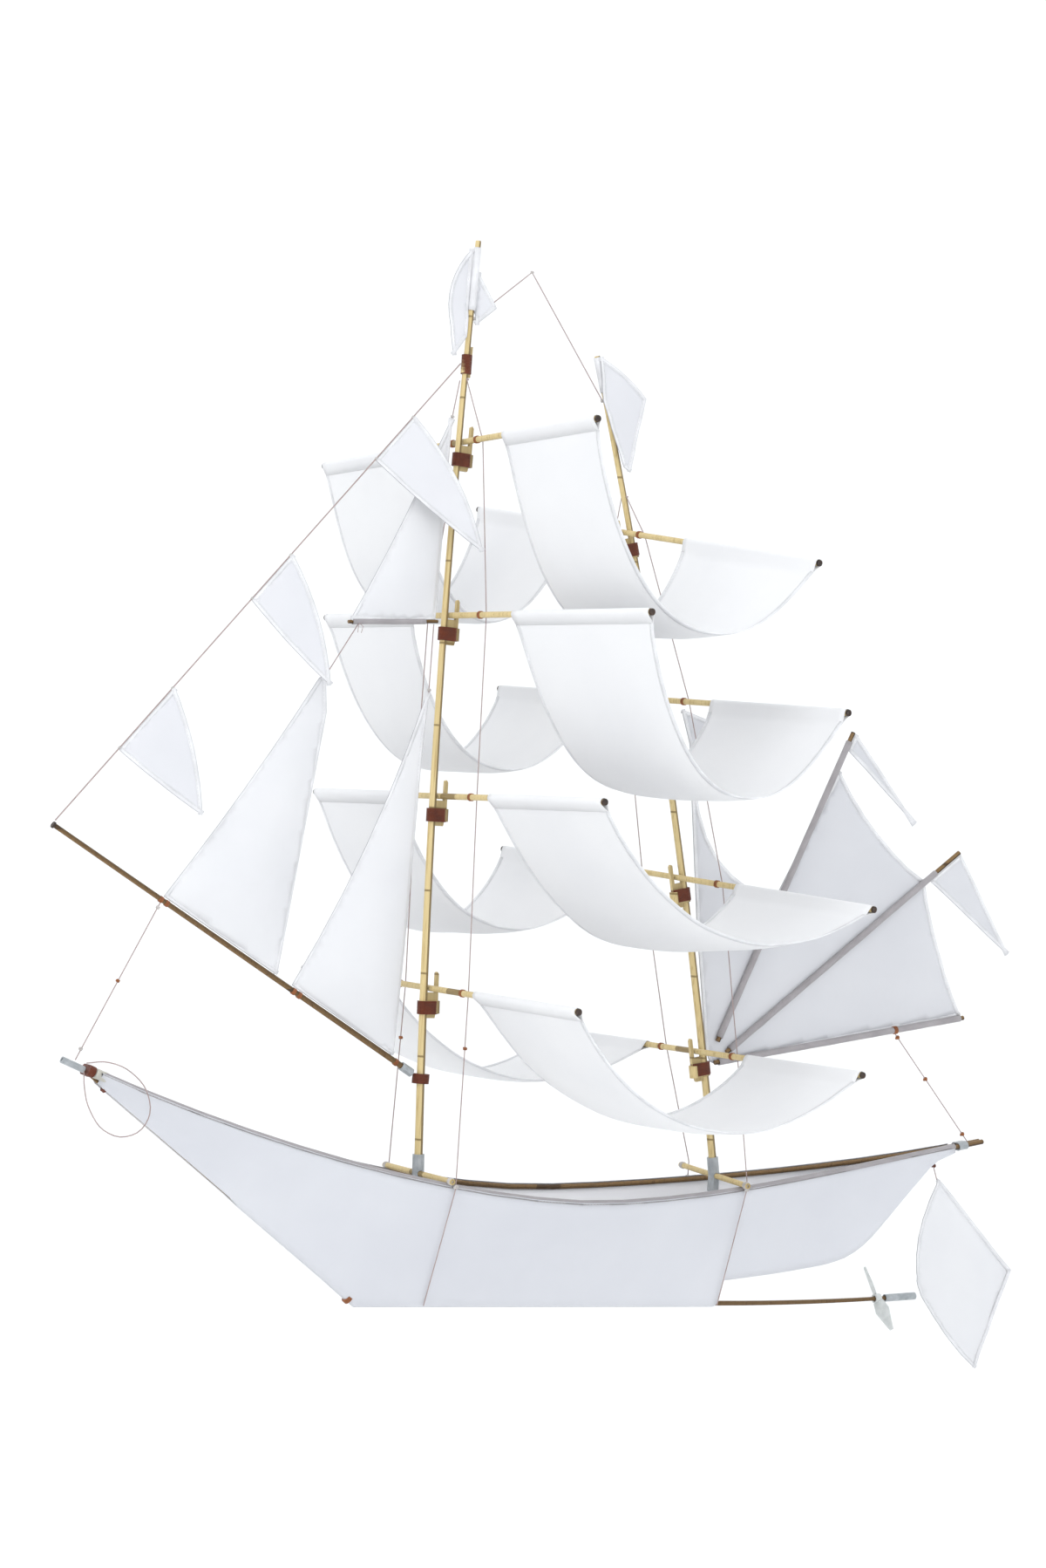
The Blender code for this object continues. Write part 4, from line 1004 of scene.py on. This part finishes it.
def hull_ties():
    """The lashing at the bow, the ties on the stem and keel, and the spreaders' loops."""
    low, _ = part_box("gunwale_port")
    x = low.x + 0.0015
    port, radius = rod_at("gunwale_port", x)
    starboard, _ = rod_at("gunwale_starboard", x)
    ahead = rod_at("gunwale_port", x + 0.01)[0] - port
    ahead.y = 0.0
    winding("bow_lashing", port, ahead, radius + 0.0016, 0.0058, "frame", "lashing", turns=6,
            strand=0.0007, reach=starboard - port)
    port, radius = rod_at("gunwale_port", x + 0.0085)
    starboard, _ = rod_at("gunwale_starboard", x + 0.0085)
    winding("bow_tape", port, ahead, radius + 0.0016, 0.0110, "frame", "tape", turns=2, strand=0.0002,
            reach=starboard - port)
    stem_low, stem_high, stem_radius = axis_of("stem_rod")
    if stem_low.z > stem_high.z:
        stem_low, stem_high = stem_high, stem_low
    stem = stem_high - stem_low
    winding("stem_tie", stem_low.lerp(stem_high, 0.927), stem, stem_radius + 0.0020, 0.0034,
            "frame", "lashing", 3)
    winding("keel_tie", stem_low + stem * 0.012, stem, 0.0046, 0.0042, "frame", "ring", 4)
    for mast in MASTS:
        start, end, arm_radius = axis_of(f"{mast}_spreader")
        shrouds = vertices_of(f"{mast}_shrouds")
        for side, sign in SIDES.items():
            near = shrouds[(np.abs(shrouds[:, 2] - start.z) < SHROUD_BAND) & (shrouds[:, 1] * sign > 0.02)]
            reach = float(near[:, 1].mean())
            tip = start if start.y * sign > 0 else end
            inward = ((end - start) if tip is start else (start - end)).normalized()
            place = tip + inward * 0.0035
            winding(f"{mast}_spreader_tape_{side}", place, inward, arm_radius + WOUND_ON, 0.0042,
                    "frame", "knot")
            knot(f"{mast}_spreader_knot_{side}", (near[:, 0].mean(), reach, start.z - 0.004), 0.0034, "frame")


def more_lashings():
    """The forestay's lashing, the bowsprit's foot, small knots on the shrouds, and hollow rod ends."""
    _, stay_top, _ = axis_of("forestay")
    radius = mast_radius("fore", stay_top.z)
    winding("forestay_lashing", mast_middle("fore", stay_top.z), mast_lean("fore", stay_top.z),
            radius + COLLAR_WALL + 0.0002, 0.0170, "frame", "lashing", turns=17)
    low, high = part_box("bowsprit")
    foot = mast_point("fore", low.z)
    beside = Vector(((high.x - foot.x) * 0.6, 0.0, 0.0))
    winding("bowsprit_foot_lashing", foot - UP * 0.0025, mast_lean("fore", 0.273),
            FOOT_RADIUS + 0.0003, 0.0085, "frame", "lashing", turns=9, reach=beside)
    for mast, height in (("fore", 0.226), ("main", 0.164)):
        shrouds = vertices_of(f"{mast}_shrouds")
        for side, sign in SIDES.items():
            leg = shrouds[shrouds[:, 1] * sign > 0.02]
            below, above = leg[leg[:, 2] < height], leg[leg[:, 2] > height]
            low = below[below[:, 2] > below[:, 2].max() - 0.004].mean(axis=0)
            high = above[above[:, 2] < above[:, 2].min() + 0.004].mean(axis=0)
            share = float((height - low[2]) / (high[2] - low[2]))
            knot(f"{mast}_shroud_knot_{side}", Vector(low).lerp(Vector(high), share), 0.0028, "frame", "ring")
    for level in LEVELS:
        for mast in MASTS:
            rod_ends(f"{mast}_{level}_yard")
    rod_ends("bowsprit", ("start",))


def mast_middle(mast, height):
    """The mast's centre, from the vertices on its widest sides near a height."""
    points = vertices_of(f"{mast}mast")
    near = points[np.abs(points[:, 2] - height) < MAST_BAND]
    wide = near[np.abs(near[:, 1]) > 0.9 * np.abs(near[:, 1]).max()]
    slope, offset = np.polyfit(wide[:, 2], wide[:, 0], 1)
    return Vector((float(slope * height + offset), 0.0, height))


def mast_point(mast, height):
    """The mast's centre below its lowest lashing, on the line to its step tube."""
    low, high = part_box(f"{mast}_step_tube")
    foot = Vector(((low.x + high.x) / 2, 0.0, (low.z + high.z) / 2))
    lashed = mast_middle(mast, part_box(f"{mast}_course_yard")[1].z)
    return foot.lerp(lashed, (height - foot.z) / (lashed.z - foot.z))


def mast_lean(mast, height):
    return (mast_middle(mast, height + 0.02) - mast_middle(mast, height - 0.02)).normalized()


def rod_ends(node, which=("start", "end")):
    """A shallow dish at a bamboo rod's cut ends in near black: painted shade for the dark inside of the hollow."""
    start, end, radius = axis_of(node)
    for name, place, axis in (("start", start, start - end), ("end", end, end - start)):
        if name not in which:
            continue
        axis = axis.normalized()
        first, second = square_frame(axis, UP)
        rings = []
        for out, along in ((1.03, -0.0016), (1.04, 0.0002), (0.9, 0.0004), (0.7, 0.0001)):
            ring = []
            for step in range(14):
                angle = 2 * math.pi * step / 14
                ring.append(place + axis * along
                            + (first * math.cos(angle) + second * math.sin(angle)) * radius * out)
            rings.append(ring)
        finish_piece(loft(f"{node}_hollow_{name}", rings), BODY_OF[node], "hollow_shade")


# ------------------------------------------------------------------------------ headsails

SLEEVE_SIDES = 14           # points round a sleeve on a spar
SLEEVE_LENGTH = 0.006       # between its rings


def near_line(start, end, reach):
    """A test for places beside a line from start to end."""
    axis = (end - start).normalized()

    def beside(place, on_border=False):
        along = (place - start).dot(axis)
        return (place - start - axis * along).length < reach

    return beside


def stay_flags():
    """Three flags on the forestay, sewn along their hoists, with soft curling tails."""
    start, end, _ = axis_of("forestay")
    for place, depth, full in (("upper", 0.007, 0.008), ("middle", 0.006, 0.006), ("lower", 0.006, 0.0045)):
        node = f"{place}_stay_flag"
        (corners,), normal = flat_outlines(node)
        body = BODY_OF[node]
        on_stay_line = near_line(start, end, 0.0018)
        hoist_top = max((p for p in corners if on_stay_line(p)), key=lambda p: p.z)

        def bow(a, b):
            if on_stay_line(a) and on_stay_line(b):
                return 0.0
            return full if hoist_top in (a, b) else full * 0.35

        outline = bow_out(corners, bow)
        flat_cloth(f"{node}_cloth", outline, normal, body, "pennant", depth, on_stay_line,
                   0.005, 0.0012, replaces=[node])
        hoist = [p for p in corners if on_stay_line(p)]
        top, bottom = max(hoist, key=lambda p: p.z), min(hoist, key=lambda p: p.z)
        axis = (bottom - top).normalized()
        on_stay = start + (end - start).normalized() * (top - start).dot((end - start).normalized())
        for number, reach in ((0, 0.0015), (1, (bottom - top).length - 0.0015)):
            winding(f"{node}_tie_{number}", on_stay + axis * reach, axis, 0.0009, 0.0022,
                    body, "knot", 3, 0.0003)


def jib(node, depth):
    (outline,), normal = flat_outlines(node)
    flat_cloth(f"{node}_cloth", outline, normal, "frame", "sail", depth, None, 0.006, 0.0012, replaces=[node])
    head = max(outline, key=lambda p: p.z)
    top = max((Vector(p) for p in vertices_of(node)), key=lambda p: p.z)
    top.y = 0.0
    add_line(f"{node}_halyard", [head - (top - head).normalized() * 0.004, top], 0.0005, "frame", "rigging")
    knot(f"{node}_head_knot", head + (top - head) * 0.04, 0.0026, "frame", axis=top - head)
    return outline, top


def headsails():
    start, end, _ = axis_of("bowsprit")
    axis = (end - start).normalized()
    _, spar_top = jib("outer_jib", 0.010)
    jib("inner_jib", 0.010)
    jib("topmast_staysail", 0.006)

    def bowsprit_radius(x):
        ring = section("bowsprit", x)
        return max(abs(point.y) for point in ring)

    low_outer, high_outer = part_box("outer_jib")
    low_inner, high_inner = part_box("inner_jib")
    bobstay_low, bobstay_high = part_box("bobstay")
    places = (bobstay_high.x, low_outer.x + 0.003, high_outer.x - 0.028,
              low_inner.x + 0.002, high_inner.x - 0.004)
    for number, x in enumerate(places):
        place = on_line(start, axis, x, 0)
        winding(f"bowsprit_ring_{number}", place, axis, bowsprit_radius(x) + WOUND_ON, RING_WIDTH, "frame")
    spar_start, spar_end, spar_radius = axis_of("staysail_spar")
    spar_axis = (spar_end - spar_start).normalized()
    place = on_line(spar_start, spar_axis, spar_top.x, 0)
    winding("staysail_spar_ring", place, spar_axis, spar_radius + WOUND_ON, 0.0036, "frame", strand=0.0006)
    for number, lean in ((0, -0.4), (1, 0.7)):
        end_point = place + Vector((0.003 * lean, -0.003, -0.0095))
        middle = place + Vector((0.004 * lean, -0.0042, -0.004))
        root = place + Vector((0.0, -0.0022, -0.0012))
        add_line(f"staysail_spar_end_{number}", [root, middle, end_point], 0.0003, "frame", "rigging")
    bob_start = Vector((bobstay_high.x, 0.0, bobstay_high.z))
    bob_end = Vector((bobstay_low.x, 0.0, bobstay_low.z))
    for number, share in enumerate((0.03, 0.5, 0.93)):
        knot(f"bobstay_knot_{number}", bob_start.lerp(bob_end, share), 0.0026, "frame",
             "ring" if number == 1 else "knot", axis=bob_end - bob_start)
    sleeve_on_spar("staysail_sleeve", spar_start, spar_end, spar_radius, "frame", 0.004, 0.012)


def sleeve_on_spar(name, start, end, radius, body, bare_start, bare_end, finish="grey_hem", loose=0.0007):
    """A cloth sleeve round a straight spar, slightly crumpled, with both ends open."""
    axis = (end - start).normalized()
    first, second = square_frame(axis, UP)
    length = (end - start).length - bare_start - bare_end
    count = max(4, round(length / SLEEVE_LENGTH))
    rings, uvs = [], []
    for step in range(count + 1):
        along = length * step / count
        middle = start + axis * (bare_start + along)
        ring = []
        for index in range(SLEEVE_SIDES):
            angle = 2 * math.pi * index / SLEEVE_SIDES
            fold = 0.00025 * noise.noise(Vector((along * 60.0, angle, start.x * 30.0)))
            out = radius + loose + fold
            ring.append(middle + (first * math.cos(angle) + second * math.sin(angle)) * out)
            uvs.append((along, (index - SLEEVE_SIDES // 2) * 0.0012))
        rings.append(ring)
    piece = loft(name, rings, caps=False, uvs=uvs)
    thicken(piece, FABRIC)
    return finish_piece(piece, body, finish)


# -------------------------------------------------------------------------------- spanker

LUFF_AFT = 0.162            # the sail's border is held forward of this x
BARE_END = {"spanker_gaff": 0.010, "spanker_sprit": 0.034, "spanker_boom": 0.004}


def spanker():
    """The fan of cloth on three sleeved spars, with its luff panel, and two flags."""
    spars = {node: axis_of(node) for node in ("spanker_gaff", "spanker_sprit", "spanker_boom")}
    (outline,), normal = flat_outlines("spanker_sail")
    cloth_side = Vector((0, 0.0033, 0))
    tests = [near_line(start + cloth_side, end + cloth_side, 0.0052) for start, end, _ in spars.values()]

    def held(place, on_border):
        return any(test(place) for test in tests) or (on_border and place.x < LUFF_AFT)

    flat_cloth("spanker_cloth", outline, normal, "spanker", "spanker", 0.0055, held, 0.0075, 0.0012,
               replaces=["spanker_sail"])
    for node, (start, end, radius) in spars.items():
        sleeve_on_spar(f"{node}_sleeve", start, end, radius, "spanker", 0.004, BARE_END[node])
    for node, spar in (("gaff_flag", "spanker_gaff"), ("sprit_flag", "spanker_sprit")):
        (outline,), normal = flat_outlines(node)
        start, end, _ = spars[spar]
        flat_cloth(f"{node}_cloth", outline, normal, BODY_OF[node], "spanker", 0.004,
                   near_line(start, end, 0.0045), 0.005, 0.001, replaces=[node])
    boom_start, boom_end, boom_radius = spars["spanker_boom"]
    axis = (boom_end - boom_start).normalized()
    low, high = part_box("boom_sheet")
    place = on_line(boom_start, axis, low.x, 0)
    winding("boom_ring", place, axis, boom_radius + 0.0009, 0.0042, "spanker", strand=0.0007)
    top, foot = Vector((low.x, 0.0, high.z)), Vector((high.x, 0.0, low.z))
    for number, share in enumerate((0.04, 0.42, 0.93)):
        knot(f"sheet_knot_{number}", top.lerp(foot, share), 0.0034, "boom_sheet", "ring", axis=foot - top)


# ------------------------------------------------------------------------- masthead flags

FLAG_SLEEVE = 0.0045        # vertices this near the mast's axis are the sleeve
FLAG_HELD = 0.0062          # cloth this near it can't move
FLAG_BOW = {"fore": 0.010, "main": 0.003}       # how far the longest free side bows out


def masthead_flag(mast, count, depth):
    node = f"{mast}mast_flag"
    body = BODY_OF[node]
    low, axis = joint_of(body)
    points = vertices_of(node)
    reach = (points - np.array(low)) @ np.array(axis)
    off = points - np.array(low) - np.outer(reach, np.array(axis))
    distance = np.sqrt((off ** 2).sum(axis=1))
    sleeve = distance < FLAG_SLEEVE
    top = low + axis * float(reach[sleeve].max())
    bottom = low + axis * float(max(0.0, reach[sleeve].min()))
    radius = float(np.sort(distance)[:8].mean())
    outlines, normal = flat_outlines(node, count)

    def held(place, on_border=False):
        along = (place - low).dot(axis)
        return (place - low - axis * along).length < FLAG_HELD and place.z > bottom.z - 0.001

    def bow(a, b):
        longest = max((q - p).length for p, q in zip(corners, corners[1:] + corners[:1]))
        free = not (held(a) and held(b))
        return FLAG_BOW[mast] if free and (b - a).length > 0.98 * longest else 0.0

    for number, corners in enumerate(outlines):
        outline = corners if number else bow_out(corners, bow)
        flat_cloth(f"{node}_cloth_{number}", outline, normal, body, "pennant", depth, held, 0.0045, 0.0012,
                   replaces=[node] if number == 0 else ())
    sleeve_on_spar(f"{node}_sleeve", bottom, top, radius - 0.0002, body, 0.0, 0.0, "white_hem", 0.0004)


# -------------------------------------------------------------------------- fin


def tail():
    node = "tail_fin"
    (outline,), normal = flat_outlines(node)
    hook, _ = joint_of(BODY_OF[node])
    low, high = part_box(node)

    def curl(moved, flat):
        """The after edge rolls over towards port."""
        depth = max(0.0, (flat.x - low.x) / (high.x - low.x) - 0.62) / 0.38
        return moved + Vector((-0.004 * depth ** 2, -0.010 * depth ** 2, 0.0))

    tube_end = Vector(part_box("tail_tube")[1])

    def held(place, on_border):
        return (place - tube_end).length < 0.012 or place.z > high.z - 0.016

    flat_cloth("tail_fin_cloth", outline, normal, BODY_OF[node], "sail", 0.007, held, 0.006, 0.0015,
               shape=curl, replaces=[node])
    top = max(outline, key=lambda p: p.z)
    add_line("tail_fin_thread", [top - Vector((0, 0, 0.003)), hook], 0.0005, BODY_OF[node], "rigging")
    knot("tail_fin_knot", hook, 0.0036, BODY_OF[node], "lashing")


# --------------------------------------------------------------------------------- cords

THREAD_RADIUS = 0.0005
HANG_LINE = (
    Vector((-0.14565, 0.0, 0.856)),
    Vector((-0.0910, 0.0, 0.906)),
    Vector((-0.0088, 0.0, 0.804)),
)
BOW_LOOP = (
    Vector((-0.4480, -0.0036, 0.1965)), Vector((-0.4330, -0.0125, 0.1985)),
    Vector((-0.4140, -0.0215, 0.1905)), Vector((-0.4010, -0.0270, 0.1720)),
    Vector((-0.4020, -0.0290, 0.1530)), Vector((-0.4155, -0.0270, 0.1410)),
    Vector((-0.4330, -0.0215, 0.1430)), Vector((-0.4460, -0.0150, 0.1590)),
    Vector((-0.4500, -0.0085, 0.1770)), Vector((-0.4500, -0.0045, 0.1900)),
)


def add_cords():
    """The taut hanging line and the loose loop at the bow."""
    ends = [HANG_LINE[0], HANG_LINE[-1]]
    steps = [HANG_LINE[0].lerp(HANG_LINE[1], t / 9) for t in range(9)]
    steps += [HANG_LINE[1].lerp(HANG_LINE[2], t / 14) for t in range(15)]
    hang = add_line("hang_line_thread", steps, THREAD_RADIUS, "frame", "rigging", replaces=["hang_line"])
    tied = [
        knot("hang_knot_fore", ends[0] + Vector((0.0004, 0, 0)), 0.0030, "frame"),
        knot("hang_knot_main", ends[1], 0.0030, "frame"),
        knot("hang_knot_apex", HANG_LINE[1], 0.0024, "frame"),
    ]
    route = smooth_route(BOW_LOOP, 38)
    loop = add_line("bow_loop_thread", route, THREAD_RADIUS, "frame", "rigging", replaces=["bow_loop"])


def smooth_route(points, count):
    """Evenly spaced points along a smooth curve through the route's own points."""
    guide = bpy.data.curves.new("guide", "CURVE")
    guide.dimensions = "3D"
    guide.resolution_u = 16
    spline = guide.splines.new("BEZIER")
    spline.bezier_points.add(len(points) - 1)
    for knot_point, place in zip(spline.bezier_points, points):
        knot_point.co = place
        knot_point.handle_left_type = knot_point.handle_right_type = "AUTO"
    holder = bpy.data.objects.new("guide", guide)
    bpy.context.scene.collection.objects.link(holder)
    bpy.context.view_layer.update()
    fine = [vertex.co.copy() for vertex in holder.to_mesh().vertices]
    bpy.data.objects.remove(holder, do_unlink=True)
    bpy.data.curves.remove(guide)
    total = lengths_along(fine)[-1]
    return spaced_along(fine, [total * step / (count - 1) for step in range(count)])


# ------------------------------------------------------------------- finishes of CAD nodes


def finish_nodes():
    """Bamboo with its fibres along each rod, and thread, vinyl and plastic for the rest."""
    slots = {part["node"]: part["material_slot"] for part in frame["record"]["subparts"]}
    plain = {"vinyl_tube": "vinyl", "rigging_thread": "rigging", "propeller_plastic": "plastic",
             "sail_nylon": "sail", "hull_nylon": "hull", "spanker_nylon": "spanker"}
    for node, thing in NODES.items():
        slot = slots[node]
        if slot in BAMBOO:
            start, end, _ = axis_of(node)
            pale, dark = BAMBOO[slot]
            material = bamboo(f"{node}_bamboo", pale, dark, (end - start).normalized())
        else:
            material = FINISH[plain[slot]]
        for index in range(len(thing.material_slots)):
            thing.material_slots[index].material = material


# --------------------------------------------------------------------------- everything

add_camera()
add_stage()
add_cords()
finish_nodes()
for level_name in LEVELS:
    for side_name in SIDES:
        square_sail(level_name, side_name)
    yard_rings(level_name)
for mast_name in MAST_SIDE:
    mast_lashings(mast_name)
for side_name in SIDES:
    hull_skin(side_name)
hull_ties()
more_lashings()
stay_flags()
headsails()
spanker()
masthead_flag("fore", 2, 0.004)
masthead_flag("main", 1, 0.005)
tail()
